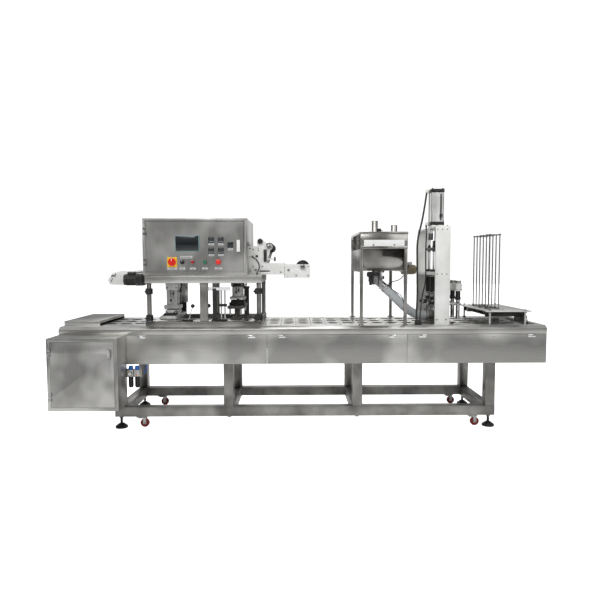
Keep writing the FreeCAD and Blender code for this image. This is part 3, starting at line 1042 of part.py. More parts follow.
for make in (base_frame, upper_frame, levelling_feet, casters, panels, panel_latches, deck_rails,
             discharge_cover, conveyor, shafts, bearing_blocks, gearmotors, cabinet, operator_box, door_hinges,
             station_frame, post_clamps, air_cylinders, presses, film_plates, film_rolls, tower_frame,
             dosing_units, dosing_pistons, hopper, outlet_valve, product_hose, dispenser, air_prep_unit):
    make()

doc.recompute()
for piece in doc.Objects:
    if {"Invalid", "Error"} & set(piece.State):
        raise RuntimeError(f"{piece.Name} ({piece.TypeId}) is {piece.State}")
for part in nodes:
    if part.Shape.isNull() or not part.Shape.isValid() or not part.Shape.Solids:
        raise RuntimeError(f"{part.Label} has no valid shape")

os.makedirs("parts", exist_ok=True)
for part in nodes:
    part.Shape.exportStep(f"parts/{part.Label}.step")
box = nodes[0].Shape.BoundBox
for part in nodes[1:]:
    box.add(part.Shape.BoundBox)
print(f"{len(nodes)} sub-parts, box {box.XMin:.2f} {box.YMin:.2f} {box.ZMin:.2f} to "
      f"{box.XMax:.2f} {box.YMax:.2f} {box.ZMax:.2f}")
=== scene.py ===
# %% [markdown]
# # A cup filling and sealing machine
# The steel machine is loaded as a fixed frame, with every solid in its place. This lesson dresses it: folded
# sheet gets its rounded edges, each metal and plastic gets its finish, and the small pieces that make such a
# machine believable, such as screws, knobs, air tubes and instrument faces, are modelled round the solids.

# %% Load the frame
import json
import math

import bmesh
import bpy
from mathutils import Matrix, Vector

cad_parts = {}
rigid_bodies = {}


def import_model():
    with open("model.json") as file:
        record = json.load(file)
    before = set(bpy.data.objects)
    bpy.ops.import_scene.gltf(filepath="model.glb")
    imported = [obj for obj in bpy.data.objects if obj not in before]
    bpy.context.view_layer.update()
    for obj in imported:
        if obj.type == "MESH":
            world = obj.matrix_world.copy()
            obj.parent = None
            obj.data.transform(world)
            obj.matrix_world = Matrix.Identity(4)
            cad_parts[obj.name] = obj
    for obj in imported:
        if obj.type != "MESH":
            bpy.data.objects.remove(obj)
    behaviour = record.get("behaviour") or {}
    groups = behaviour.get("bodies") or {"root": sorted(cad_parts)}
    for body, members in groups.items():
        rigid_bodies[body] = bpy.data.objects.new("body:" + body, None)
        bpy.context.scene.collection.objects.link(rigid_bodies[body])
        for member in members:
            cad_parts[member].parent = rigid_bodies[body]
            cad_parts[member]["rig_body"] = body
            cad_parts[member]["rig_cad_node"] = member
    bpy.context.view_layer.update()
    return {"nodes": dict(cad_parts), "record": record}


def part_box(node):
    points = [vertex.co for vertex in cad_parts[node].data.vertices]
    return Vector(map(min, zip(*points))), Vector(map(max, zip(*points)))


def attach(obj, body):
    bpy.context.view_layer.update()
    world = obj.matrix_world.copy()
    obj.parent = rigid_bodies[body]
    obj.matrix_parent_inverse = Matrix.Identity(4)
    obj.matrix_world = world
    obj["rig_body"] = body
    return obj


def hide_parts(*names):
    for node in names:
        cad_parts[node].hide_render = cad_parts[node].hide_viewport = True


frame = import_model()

BODY_OF = {node: body for body, nodes in frame["record"]["behaviour"]["bodies"].items() for node in nodes}
MM = 0.001

# %% [markdown]
# ## Camera, floor and light
# A product shot from the operator's side: a normal lens at about head height, aimed slightly down, so that
# the deck is seen as a thin bright strip. The floor curves up nowhere; it is simply large and pale. Large soft
# lights from the front, the sides and above give steel the long soft gradients that make it read as metal.
# The surroundings that steel mirrors are a plain grey gradient. Where the camera itself looks past the
# machine, the surroundings and the floor show as white, so that the outline stands clear.

# %% Camera
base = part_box("base_frame")
BODY_MIDDLE_Y = (base[0].y + base[1].y) / 2
CAMERA_AT = Vector((-0.068, BODY_MIDDLE_Y - 4.933, 1.369))
TILT_DOWN, TURN_RIGHT, ROLL = math.radians(3.85), math.radians(0.5), math.radians(0.15)
bpy.ops.object.camera_add(location=CAMERA_AT, rotation=(math.pi / 2 - TILT_DOWN, ROLL, -TURN_RIGHT))
camera = bpy.context.object
camera.data.sensor_width = 36
camera.data.lens = 33.3
bpy.context.scene.camera = camera

# %% Floor and lights
bpy.ops.mesh.primitive_plane_add(size=60, location=(0, 0, 0))
floor = bpy.context.object
floor.name = "floor"


def soft_light(at, aim, width, height, watts):
    """A rectangular light that faces a point."""
    bpy.ops.object.light_add(type="AREA", location=at)
    light = bpy.context.object
    light.data.shape = "RECTANGLE"
    light.data.size, light.data.size_y = width, height
    light.data.energy = watts
    light.rotation_euler = (Vector(aim) - Vector(at)).to_track_quat("-Z", "Y").to_euler()


soft_light((-2.5, -5.5, 5.0), (0, 0, 0.8), 5.0, 2.5, 175)
soft_light((3.5, -5.0, 3.6), (0.5, 0, 0.9), 3.0, 3.0, 60)
soft_light((0, 0.5, 6.0), (0, 0, 0.8), 7.0, 3.0, 150)
soft_light((0, 5.0, 3.0), (0, 0, 1.0), 6.0, 3.0, 60)
bpy.context.scene.view_settings.view_transform = "Standard"

world = bpy.data.worlds.new("studio")
bpy.context.scene.world = world
world.use_nodes = True


# %% [markdown]
# ## Finishes
# Every finish starts from what the real surface is. A tiny helper adds one shader node with its settings and
# links; each finish below is a short function that builds its own network from it. Colours are written as
# the hex values a designer would pick and turned to linear light once.

# %% Node and colour helpers
def linear(hex_code):
    """An sRGB hex colour in linear light, with alpha."""
    parts = [int(hex_code[i:i + 2], 16) / 255 for i in (1, 3, 5)]
    return [p / 12.92 if p <= 0.04045 else ((p + 0.055) / 1.055) ** 2.4 for p in parts] + [1.0]


def add(tree, kind, settings=None, **inputs):
    """One node: settings are its own properties, inputs are values or another node's output socket."""
    made = tree.nodes.new(kind)
    for name, value in (settings or {}).items():
        setattr(made, name, value)
    for name, value in inputs.items():
        socket = made.inputs[int(name[1:])] if name[0] == "i" and name[1:].isdigit() else made.inputs[name]
        if isinstance(value, bpy.types.NodeSocket):
            tree.links.new(value, socket)
        else:
            socket.default_value = value
    return made


def new_finish(name):
    """An empty material with its tree, its principled shader and the piece's own coordinates."""
    finish = bpy.data.materials.new(name)
    finish.use_nodes = True
    tree = finish.node_tree
    shader = tree.nodes["Principled BSDF"]
    where = add(tree, "ShaderNodeTexCoord").outputs["Object"]
    return finish, tree, shader, where


def ramp(tree, value, stops):
    """A colour ramp from a list of (position, colour)."""
    made = add(tree, "ShaderNodeValToRGB", Fac=value)
    made.color_ramp.elements[0].position, made.color_ramp.elements[0].color = stops[0]
    made.color_ramp.elements[1].position, made.color_ramp.elements[1].color = stops[1]
    for position, colour in stops[2:]:
        made.color_ramp.elements.new(position).color = colour
    return made.outputs["Color"]


def set_shader(tree, shader, **values):
    for name, value in values.items():
        socket = shader.inputs[name.replace("_", " ")]
        if isinstance(value, bpy.types.NodeSocket):
            tree.links.new(value, socket)
        else:
            socket.default_value = value


sky_tree = world.node_tree
sky_tree.nodes.clear()
sky_where = add(sky_tree, "ShaderNodeTexCoord").outputs["Generated"]
sky_split = add(sky_tree, "ShaderNodeSeparateXYZ", Vector=sky_where)
sky_height = add(sky_tree, "ShaderNodeMapRange", i0=sky_split.outputs["Z"], i1=-0.3, i2=1.0, i3=0.0, i4=1.0)
sky_colour = ramp(sky_tree, sky_height.outputs[0], [(0.0, linear("#8E8E8D")), (1.0, linear("#F4F5F6")),
                                                    (0.25, linear("#6F6F6E")), (0.42, linear("#B9BABB"))])
sky = add(sky_tree, "ShaderNodeBackground", Color=sky_colour, Strength=0.62)
paper = add(sky_tree, "ShaderNodeBackground", Color=linear("#FFFFFF"), Strength=1.1)
seen = add(sky_tree, "ShaderNodeLightPath").outputs["Is Camera Ray"]
sky_mix = add(sky_tree, "ShaderNodeMixShader", i0=seen, i1=sky.outputs[0], i2=paper.outputs[0])
sky_out = add(sky_tree, "ShaderNodeOutputWorld", Surface=sky_mix.outputs[0])


# %% [markdown]
# **Brushed stainless steel (304, #4 finish)** has short parallel scratches. Up close they are hairlines under
# a tenth of a millimetre apart; they are drawn here at about half a millimetre so that they show. From afar
# only their effect is left: highlights smear across the grain, and the sheet has slow cloudy changes where
# the belt pressed harder. So the network has a stretched noise for the hairlines and a large soft noise.

# %% Brushed steel
def brushed_steel(name, colour, dark, grain="x", rough=0.34, cloud=2.2, contrast=1.0):
    finish, tree, shader, where = new_finish(name)
    across, along = 1600, 9
    stretch = {"x": (along, across, across), "y": (across, along, across),
               "z": (across, across, along)}[grain]
    mapping = add(tree, "ShaderNodeMapping", Vector=where, Scale=stretch)
    hairline = add(tree, "ShaderNodeTexNoise", Vector=mapping.outputs[0], Scale=1.0, Detail=3.0,
                   Roughness=0.65)
    clouds = add(tree, "ShaderNodeTexNoise", Vector=where, Scale=cloud, Detail=2.0, Roughness=0.5)
    spread = 0.16 * contrast
    tone = ramp(tree, clouds.outputs["Fac"], [(0.5 - spread, linear(dark)), (0.5 + spread, linear(colour))])
    streak = ramp(tree, hairline.outputs["Fac"], [(0.3, linear("#D2D2D2")), (0.7, linear("#FFFFFF"))])
    mixed = add(tree, "ShaderNodeMix", {"data_type": "RGBA", "blend_type": "MULTIPLY"}, Factor=0.8)
    tree.links.new(tone, mixed.inputs[6])
    tree.links.new(streak, mixed.inputs[7])
    level = add(tree, "ShaderNodeMapRange", i0=hairline.outputs["Fac"], i1=0.25, i2=0.75, i3=rough - 0.07,
                i4=rough + 0.1)
    bump = add(tree, "ShaderNodeBump", Height=hairline.outputs["Fac"], Strength=0.12, Distance=0.0004)
    set_shader(tree, shader, Base_Color=mixed.outputs[2], Metallic=1.0, Roughness=level.outputs[0],
               Normal=bump.outputs[0])
    return finish


# %% [markdown]
# **Clear anodised and bead-blasted aluminium** is nearly white and dull, with no direction: a fine even grain
# and a small change of tone from plate to plate.
# **Turned or ground steel** is the same metal as the sheet, with finer and tighter grain.

# %% Aluminium and plain metals
def satin_metal(name, colour, dark, rough=0.42, metallic=0.75, grit=900):
    finish, tree, shader, where = new_finish(name)
    speck = add(tree, "ShaderNodeTexNoise", Vector=where, Scale=grit, Detail=2.0, Roughness=0.6)
    clouds = add(tree, "ShaderNodeTexNoise", Vector=where, Scale=5.0, Detail=2.0)
    tone = ramp(tree, clouds.outputs["Fac"], [(0.36, linear(dark)), (0.64, linear(colour))])
    level = add(tree, "ShaderNodeMapRange", i0=speck.outputs["Fac"], i1=0.3, i2=0.7, i3=rough - 0.06,
                i4=rough + 0.08)
    bump = add(tree, "ShaderNodeBump", Height=speck.outputs["Fac"], Strength=0.1, Distance=0.0003)
    set_shader(tree, shader, Base_Color=tone, Metallic=metallic, Roughness=level.outputs[0],
               Normal=bump.outputs[0])
    return finish


# %% [markdown]
# **Moulded plastics and rubber** are dielectric. Moulding leaves a faint orange-peel or spark-eroded grain,
# and handling polishes it unevenly, so roughness wanders while the colour barely does. The clear hose is soft
# PVC: milky, and slightly see-through.

# %% Plastics
def moulded(name, colour, rough=0.45, grain=420, depth=0.15, coat=0.0, wear=0.12):
    finish, tree, shader, where = new_finish(name)
    peel = add(tree, "ShaderNodeTexNoise", Vector=where, Scale=grain, Detail=3.0)
    patches = add(tree, "ShaderNodeTexNoise", Vector=where, Scale=14.0, Detail=3.0)
    base_colour = linear(colour)
    light = [min(1.0, c * (1 + wear) + 0.01 * wear) for c in base_colour[:3]] + [1.0]
    tone = ramp(tree, patches.outputs["Fac"], [(0.35, base_colour), (0.7, light)])
    level = add(tree, "ShaderNodeMapRange", i0=patches.outputs["Fac"], i1=0.3, i2=0.7, i3=rough - 0.07,
                i4=rough + 0.08)
    bump = add(tree, "ShaderNodeBump", Height=peel.outputs["Fac"], Strength=depth, Distance=0.0003)
    set_shader(tree, shader, Base_Color=tone, Roughness=level.outputs[0], Normal=bump.outputs[0])
    shader.inputs["Coat Weight"].default_value = coat
    return finish


def clear_plastic(name, colour, see_through, rough):
    finish = moulded(name, colour, rough=rough, grain=120, depth=0.05)
    shader = finish.node_tree.nodes["Principled BSDF"]
    shader.inputs["Transmission Weight"].default_value = see_through
    shader.inputs["IOR"].default_value = 1.4
    return finish


# %% The machine's own finishes
PANEL = brushed_steel("brushed_stainless_sheet", "#DAD9D5", "#A9A8A5", grain="x", rough=0.36, contrast=0.5)
DOOR = brushed_steel("brushed_stainless_door", "#D0CFCC", "#9F9E9B", grain="z", rough=0.36, cloud=3.0,
                     contrast=0.6)
FRAME_TUBE = brushed_steel("brushed_stainless_tube", "#B4B2AE", "#7C7A77", grain="z", rough=0.33, cloud=5.0)
RAIL = brushed_steel("bright_brushed_rail", "#E0DFDB", "#B5B3AF", grain="x", rough=0.3)
TANK = brushed_steel("polished_tank_sheet", "#C6C4BF", "#8A8884", grain="x", rough=0.24, cloud=4.0)
CARRIER = satin_metal("punched_carrier_plate", "#E6E5E1", "#B9B8B4", rough=0.28, metallic=1.0)
PLATE = satin_metal("clear_anodised_plate", "#F1F1EE", "#DDDDD9", rough=0.5, metallic=0.35)
CYLINDER = satin_metal("anodised_cylinder_barrel", "#DCDCD9", "#BFBFBC", rough=0.38, metallic=0.7)
TURNED = brushed_steel("turned_steel", "#D2D1CE", "#98979A", grain="y", rough=0.22, cloud=20)
CHROME = satin_metal("hard_chromed_rod", "#F4F4F4", "#DADADA", rough=0.12, metallic=1.0)
DARK_STEEL = satin_metal("blackened_steel", "#3A3937", "#242321", rough=0.42, metallic=0.8)
CAST = satin_metal("cast_grey_block", "#77756F", "#55534F", rough=0.55, metallic=0.7, grit=300)
BRASS = satin_metal("nickel_plated_brass", "#D9CFB4", "#B7A985", rough=0.25, metallic=1.0)
BLACK = moulded("black_nylon", "#191918", rough=0.42)
RUBBER = moulded("black_rubber", "#1D1D1C", rough=0.7, depth=0.3)
MOTOR = moulded("black_motor_enamel", "#232321", rough=0.4, grain=250, coat=0.2)
OCHRE = moulded("ochre_motor_enamel", "#857C63", rough=0.45, grain=250, coat=0.2)
RED = moulded("red_polycarbonate", "#E2231A", rough=0.28, coat=0.5, wear=0.05)
DARK_RED = moulded("dark_red_lens", "#A8101C", rough=0.22, coat=0.6, wear=0.05)
GREEN = moulded("green_lens", "#127A55", rough=0.22, coat=0.6, wear=0.05)
YELLOW = moulded("yellow_legend_plate", "#F4C20D", rough=0.35, wear=0.04)
TEAL = moulded("teal_screen_bezel", "#57C3CB", rough=0.35, wear=0.05)
LABEL = moulded("grey_legend_plate", "#C9CAC9", rough=0.5, wear=0.04)
WHITE = moulded("white_nylon", "#F0F1EF", rough=0.35, wear=0.03)
GREY = moulded("grey_plastic", "#8B8D8E", rough=0.45)
TYRE = moulded("red_polyurethane_tyre", "#7B1D16", rough=0.5)
BLUE = moulded("blue_nylon", "#1F5FA8", rough=0.4)
ORANGE = moulded("orange_nylon", "#E07B21", rough=0.4)
FILM = moulded("glossy_black_film", "#121213", rough=0.12, grain=60, coat=0.8)
HOSE = clear_plastic("milky_pvc_hose", "#C9CED0", 0.25, 0.3)
BOWL = clear_plastic("smoked_polycarbonate", "#26282A", 0.3, 0.15)
FLOOR = moulded("pale_floor", "#F4F4F4", rough=0.8, depth=0.0, wear=0.0)
FLOOR.node_tree.nodes["Principled BSDF"].inputs["Emission Color"].default_value = linear("#FFFFFF")
FLOOR.node_tree.links.new(add(FLOOR.node_tree, "ShaderNodeLightPath").outputs["Is Camera Ray"],
                          FLOOR.node_tree.nodes["Principled BSDF"].inputs["Emission Strength"])
floor.data.materials.append(FLOOR)
print("finishes", len(bpy.data.materials))


# %% [markdown]
# ## Tools for the pieces
# A new piece starts as a primitive and is shaped in edit mode. Once it is right, its place is applied into its
# mesh, so that the object itself sits at the origin, as every solid of the frame does, and it is told which
# body carries it. Faces and edges are picked in code by where they are, because nobody is there to click.

# %% Piece helpers
def only(piece):
    """Nothing is selected but this piece, which is active."""
    bpy.ops.object.select_all(action="DESELECT")
    piece.select_set(True)
    bpy.context.view_layer.objects.active = piece


def apply_modifier(piece, kind, **settings):
    only(piece)
    modifier = piece.modifiers.new(kind.lower(), kind)
    for name, value in settings.items():
        setattr(modifier, name, value)
    bpy.ops.object.modifier_apply(modifier=modifier.name)


def settle(piece, material, round_edges=0.0, segments=2, smooth=35):
    """Rounds the sharp edges, applies the place into the mesh, smooths what is round and gives the finish."""
    only(piece)
    bpy.ops.object.transform_apply(location=True, rotation=True, scale=True)
    if round_edges:
        apply_modifier(piece, "BEVEL", width=round_edges, segments=segments, limit_method="ANGLE",
                       angle_limit=math.radians(32), use_clamp_overlap=True)
    only(piece)
    bpy.ops.object.shade_smooth_by_angle(angle=math.radians(smooth))
    piece.data.materials.clear()
    piece.data.materials.append(material)
    return piece


def block(low, high, material, round_edges=0.0):
    """A cube stretched between two corners."""
    low, high = Vector(low), Vector(high)
    bpy.ops.mesh.primitive_cube_add(size=1, location=(low + high) / 2)
    piece = bpy.context.object
    piece.scale = high - low
    return settle(piece, material, round_edges)


AXIS_TURN = {"x": (0, math.pi / 2, 0), "y": (math.pi / 2, 0, 0), "z": (0, 0, 0)}


def disc(axis, at, radius, length, material, round_edges=0.0, sides=32, top_radius=None):
    """A cylinder, or a taper, about its middle."""
    small = radius if top_radius is None else top_radius
    bpy.ops.mesh.primitive_cone_add(vertices=sides, radius1=radius, radius2=small, depth=length, location=at,
                                    rotation=AXIS_TURN[axis])
    return settle(bpy.context.object, material, round_edges)


def ball(at, radius, material, squash=(1, 1, 1)):
    bpy.ops.mesh.primitive_uv_sphere_add(segments=24, ring_count=14, radius=radius, location=at)
    bpy.context.object.scale = squash
    return settle(bpy.context.object, material, smooth=80)


def hoop(axis, at, radius, thick, material, sides=40, around=10):
    bpy.ops.mesh.primitive_torus_add(location=at, rotation=AXIS_TURN[axis], major_radius=radius,
                                     minor_radius=thick,
                                     major_segments=sides, minor_segments=around)
    return settle(bpy.context.object, material, smooth=80)


def spun(axis, at, profile, material, steps=40):
    """An outline of (radius, height) points, spun once round an axis that starts at a place."""
    mesh = bpy.data.meshes.new("outline")
    mesh.from_pydata([(r, 0, h) for r, h in profile], [(i, i + 1) for i in range(len(profile) - 1)], [])
    piece = bpy.data.objects.new("spun", mesh)
    bpy.context.scene.collection.objects.link(piece)
    only(piece)
    bpy.ops.object.mode_set(mode="EDIT")
    bpy.ops.mesh.select_all(action="SELECT")
    bpy.ops.mesh.spin(steps=steps, angle=2 * math.pi, center=(0, 0, 0), axis=(0, 0, 1))
    bpy.ops.mesh.remove_doubles(threshold=0.00002)
    bpy.ops.mesh.normals_make_consistent(inside=False)
    bpy.ops.object.mode_set(mode="OBJECT")
    piece.rotation_euler = (-math.pi / 2, 0, 0) if axis == "y" else AXIS_TURN[axis]
    piece.location = at
    return settle(piece, material, smooth=40)


def tube(points, radius, material, name="tube", order=3):
    """A round tube along a smooth line through given points, as a mesh."""
    curve = bpy.data.curves.new(name, "CURVE")
    curve.dimensions = "3D"
    curve.bevel_depth = radius
    curve.bevel_resolution = 4
    curve.use_fill_caps = True
    line = curve.splines.new("NURBS")
    line.points.add(len(points) - 1)
    for point, place in zip(line.points, points):
        point.co = (*place, 1)
    line.order_u = order
    line.use_endpoint_u = True
    line.resolution_u = 8
    piece = bpy.data.objects.new(name, curve)
    bpy.context.scene.collection.objects.link(piece)
    only(piece)
    bpy.ops.object.convert(target="MESH")
    return settle(bpy.context.object, material, smooth=60)


def join(pieces, name, body):
    """Several settled pieces become one, which rides on a body."""
    bpy.ops.object.select_all(action="DESELECT")
    for piece in pieces:
        piece.select_set(True)
    bpy.context.view_layer.objects.active = pieces[0]
    if len(pieces) > 1:
        bpy.ops.object.join()
    made = bpy.context.object
    made.name = name
    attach(made, body)
    return made


def bolt(at, axis, sign, radius, material=None, tall=None):
    """A socket cap screw: a knurled-looking round head with a hexagon socket pressed into its end."""
    tall = tall or radius * 1.1
    middle = Vector(at)
    middle["xyz".index(axis)] += sign * tall / 2
    head = disc(axis, middle, radius, tall, material or TURNED, sides=18)
    only(head)
    bpy.ops.object.mode_set(mode="EDIT")
    bpy.ops.mesh.select_all(action="DESELECT")
    mesh = bmesh.from_edit_mesh(head.data)
    way = Vector((0, 0, 0))
    way["xyz".index(axis)] = sign
    for face in mesh.faces:
        face.select = face.normal.dot(way) > 0.9
    bmesh.update_edit_mesh(head.data)
    bpy.ops.mesh.inset(thickness=radius * 0.45, depth=0)
    bpy.ops.mesh.inset(thickness=radius * 0.02, depth=-tall * 0.55)
    bpy.ops.object.mode_set(mode="OBJECT")
    return head


def finished(node, material, round_edges=0.0, paint=(), segments=2, smooth=35):
    """A clean copy of one of the frame's solids: loose triangles merged into flat faces, edges rounded, and
    some faces given another finish. paint is a list of (material, test of a face's middle)."""
    source = frame["nodes"][node]
    piece = source.copy()
    piece.data = source.data.copy()
    piece.parent = None
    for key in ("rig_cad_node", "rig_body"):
        if key in piece:
            del piece[key]
    bpy.context.scene.collection.objects.link(piece)
    only(piece)
    bpy.ops.object.mode_set(mode="EDIT")
    bpy.ops.mesh.select_all(action="SELECT")
    bpy.ops.mesh.remove_doubles(threshold=0.00001)
    bpy.ops.mesh.dissolve_limited(angle_limit=math.radians(0.5))
    bpy.ops.object.mode_set(mode="OBJECT")
    settle(piece, material, round_edges, segments, smooth)
    for number, (other, test) in enumerate(paint, 1):
        piece.data.materials.append(other)
        for face in piece.data.polygons:
            if test(face.center):
                face.material_index = number
    piece.name = node + "_finished"
    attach(piece, BODY_OF[node])
    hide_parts(node)
    return piece


def dress(material, *nodes):
    """A solid whose shape is right as it is gets only its finish."""
    for node in nodes:
        data = frame["nodes"][node].data
        data.materials.clear()
        data.materials.append(material)


def spot(x, y, z):
    """A place given in millimetres from the middle of the body, on the floor, as the drawing has it."""
    return Vector((x * MM, BODY_MIDDLE_Y + y * MM, z * MM))


def slab(x0, x1, y0, y1, z0, z1, material, round_edges=0.0):
    """A block between places in millimetres."""
    return block(spot(min(x0, x1), min(y0, y1), min(z0, z1)), spot(max(x0, x1), max(y0, y1), max(z0, z1)),
                 material,
                 round_edges * MM)


def bar(axis, x, y, z, radius, length, material, round_edges=0.0, sides=32, top_radius=None):
    """A round bar that starts at a place in millimetres and runs up an axis."""
    middle = [x, y, z]
    middle["xyz".index(axis)] += length / 2
    piece = disc(axis, spot(*middle), radius * MM, abs(length) * MM, material, round_edges * MM, sides,
                 None if top_radius is None else top_radius * MM)
    return piece


def repeat(piece, offsets):
    """The piece and a copy of it, each with its own mesh, moved by each offset in millimetres."""
    made = [piece]
    for offset in offsets:
        twin = piece.copy()
        twin.data = piece.data.copy()
        twin.data.transform(Matrix.Translation(Vector(offset) * MM))
        bpy.context.scene.collection.objects.link(twin)
        made.append(twin)
    return made


def bolts(places, axis, sign, radius, material=None, tall=None):
    """One bolt is modelled at the first place and copied to the others."""
    first = Vector(places[0])
    return repeat(bolt(spot(*first), axis, sign, radius * MM, material, tall * MM if tall else None),
                  [Vector(place) - first for place in places[1:]])


# %% [markdown]
# ## The product hose
# It comes first, because its length decides where everything near it may stand. It leaves the spout under the
# hopper's valve, slopes down towards the filling tower and flattens into the manifold, 0.52 m in all.

# %% Product hose
HOSE_EXIT = (0.68853, -0.0815, 1.1614)
HOSE_POINTS = [HOSE_EXIT, (0.732, -0.0815, 1.12226), (0.778, -0.0755, 1.078), (0.824, -0.0585, 1.033),
               (0.872, -0.0325, 0.990), (0.924, -0.0055, 0.950), (0.980, 0.0205, 0.920),
               (1.040, 0.036, 0.905),
               (1.098, 0.036, 0.905)]
curve = bpy.data.curves.new("product_hose_line", "CURVE")
curve.dimensions = "3D"
line = curve.splines.new("NURBS")
line.points.add(len(HOSE_POINTS) - 1)
for point, place in zip(line.points, HOSE_POINTS):
    point.co = (*place, 1)
line.order_u = 3
line.use_endpoint_u = True
line.resolution_u = 12
curve.bevel_depth = 0.038
curve.bevel_resolution = 10
curve.use_fill_caps = True
curve.materials.append(HOSE)
hose = bpy.data.objects.new("product_hose_tube", curve)
bpy.context.scene.collection.objects.link(hose)


def hose_clip(at, way, radius, name):
    """A worm-drive band: a thin ring round the hose with its screw housing on top."""
    turn = Vector(way).to_track_quat("Z", "Y").to_euler()
    bpy.ops.mesh.primitive_cylinder_add(vertices=48, radius=radius, depth=0.012, location=at, rotation=turn,
                                        end_fill_type="NOTHING")
    band = bpy.context.object
    apply_modifier(band, "SOLIDIFY", thickness=0.0016, offset=1)
    settle(band, TURNED)
    up = Vector(at) + Vector((0, -radius - 0.003, 0))
    bpy.ops.mesh.primitive_cube_add(size=1, location=up, rotation=turn)
    bpy.context.object.scale = (0.016, 0.009, 0.013)
    housing = settle(bpy.context.object, TURNED, 0.001)
    return join([band, housing], name, "machine")


start_way = Vector(HOSE_POINTS[1]) - Vector(HOSE_POINTS[0])
end_way = Vector(HOSE_POINTS[-1]) - Vector(HOSE_POINTS[-2])
clips = [hose_clip(Vector(HOSE_EXIT) + start_way.normalized() * 0.016, start_way, 0.0384, "hose_clip_top"),
         hose_clip(Vector(HOSE_POINTS[-1]) - end_way.normalized() * 0.016, end_way, 0.0384,
                   "hose_clip_bottom")]
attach(hose, "machine")
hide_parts("product_hose")
print("hose points", len(HOSE_POINTS))

# %% [markdown]
# ## The sheet and tube solids
# The frame's solids are exact, and their edges are knife sharp. Folded sheet has a bend as wide as twice its
# thickness and square tube has a corner radius, so clean copies with small round edges stand in for them.

# %% Frame and casing
finished("base_frame", FRAME_TUBE, 0.005, segments=3)
finished("upper_frame", FRAME_TUBE, 0.005, segments=3)
finished("front_panels", PANEL, 0.0016)
finished("rear_panels", PANEL, 0.0016)
finished("deck_rails", RAIL, 0.0022, [(CYLINDER, lambda p: p.z > 0.8485)])
finished("discharge_cover", RAIL, 0.0016)
finished("cabinet_shell", PANEL, 0.0022, [(BLACK, lambda p: p.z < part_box("cabinet_shell")[0].z + 0.027)])
finished("cabinet_door", DOOR, 0.0012)
finished("operator_box", DOOR, 0.002)
dress(DOOR, "operator_door")
finished("station_frame", FRAME_TUBE, 0.0012, [(RAIL, lambda p: p.z > 1.2)])
finished("hopper_legs", FRAME_TUBE, 0.002)
finished("hopper_lid", TANK, 0.0016)
finished("hopper_tank", TANK, 0.0012, [(WHITE, lambda p: p.y < BODY_MIDDLE_Y - 0.3912 and 1.501 < p.z < 1.554
                                                    and 0.49 < p.x < 0.83)])
finished("dispenser_table", CYLINDER, 0.0012)
finished("tower_frame", PLATE, 0.0012)
finished("film_plates", PLATE, 0.0012)
print("sheet solids dressed")

# %% [markdown]
# Turned and machined parts need no rounding that shows from a step away. They keep their own solids and get
# the metal that each is made of, and a few get a second finish where one solid is two materials.

# %% Metal, rubber and plastic solids
dress(CARRIER, "carrier_plates", "return_plates")
dress(TURNED, "drive_shaft", "tail_shaft", "caster_fork_1", "caster_fork_2", "caster_fork_3", "caster_fork_4",
      "door_hinges", "bearing_blocks", "cabinet_latch", "magazine_rods", "agitator", "outlet_valve",
      "waste_reel")
dress(TYRE, "caster_wheel_1", "caster_wheel_2", "caster_wheel_3", "caster_wheel_4")
dress(BLACK, "levelling_feet", "valve_handle", "selector_switch", "cup_separator")
pistons_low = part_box("dosing_pistons")[0].z
finished("dosing_pistons", CHROME, 0.0008, [(DARK_STEEL, lambda p: 0.351 < p.z - pistons_low < 0.436)])
dress(CAST, "control_gear")
finished("panel_latches", CHROME, 0.0012, segments=2)
finished("main_switch_knob", RED, 0.0015)
finished("red_button", DARK_RED, 0.0012)
finished("green_button", GREEN, 0.0012)
finished("emergency_button", RED, 0.001)
finished("operator_latch", WHITE, 0.0065, segments=4)

seal_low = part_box("seal_press")[0].z
finished("seal_press", PLATE, 0.001, [(CHROME, lambda p: p.z > seal_low + 0.083)])
finished("cut_press", CAST, 0.001, [(DARK_STEEL, lambda p: seal_low + 0.125 < p.z < seal_low + 0.168),
                                    (CHROME, lambda p: p.z > seal_low + 0.168)])
finished("film_roll", FILM, 0.0008, [(TURNED, lambda p: abs(p.y - BODY_MIDDLE_Y) > 0.2395)])
finished("feed_roller", RUBBER, 0.0008, [(TURNED, lambda p: abs(p.y - BODY_MIDDLE_Y) > 0.2395)])

big_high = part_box("air_cylinders")[1].z


def is_big_cap(p):
    return p.x > 0.9 and (p.z < big_high - 0.2769 or p.z > big_high - 0.0301)


def is_press_dark(p):
    return p.x < 0 and p.x > -0.75 and p.z > 1.159


finished("air_cylinders", CYLINDER, 0.0016, [(BLACK, is_big_cap), (DARK_STEEL, is_press_dark)])
finished("dosing_units", TURNED, 0.0008, [(BLACK, lambda p: p.z > 1.0905 and p.x < 1.25),
                                          (CAST, lambda p: 0.864 < p.z < 0.946 and p.x < 1.25),
                                          (BLACK, lambda p: p.x > 1.3 and 1.06 < p.z < 1.125)])
finished("gearmotors", MOTOR, 0.002, [(OCHRE, lambda p: p.x > 0.5)])
finished("air_prep_unit", CYLINDER, 0.0012, [(BOWL, lambda p: p.z < 0.4435), (BLUE, lambda p: p.z > 0.4965)])
finished("door_instruments", LABEL, 0.0006)
print("solids dressed")


# %% [markdown]
# ## The operator's door
# The door is what people look at, so its instruments get their real depth: a bezel round a recessed screen,
# controllers with a window and keys, engraved strips, a rim round every button, and a scalloped stop knob.
# The readouts are plain bars, drawn with shapes of their own.

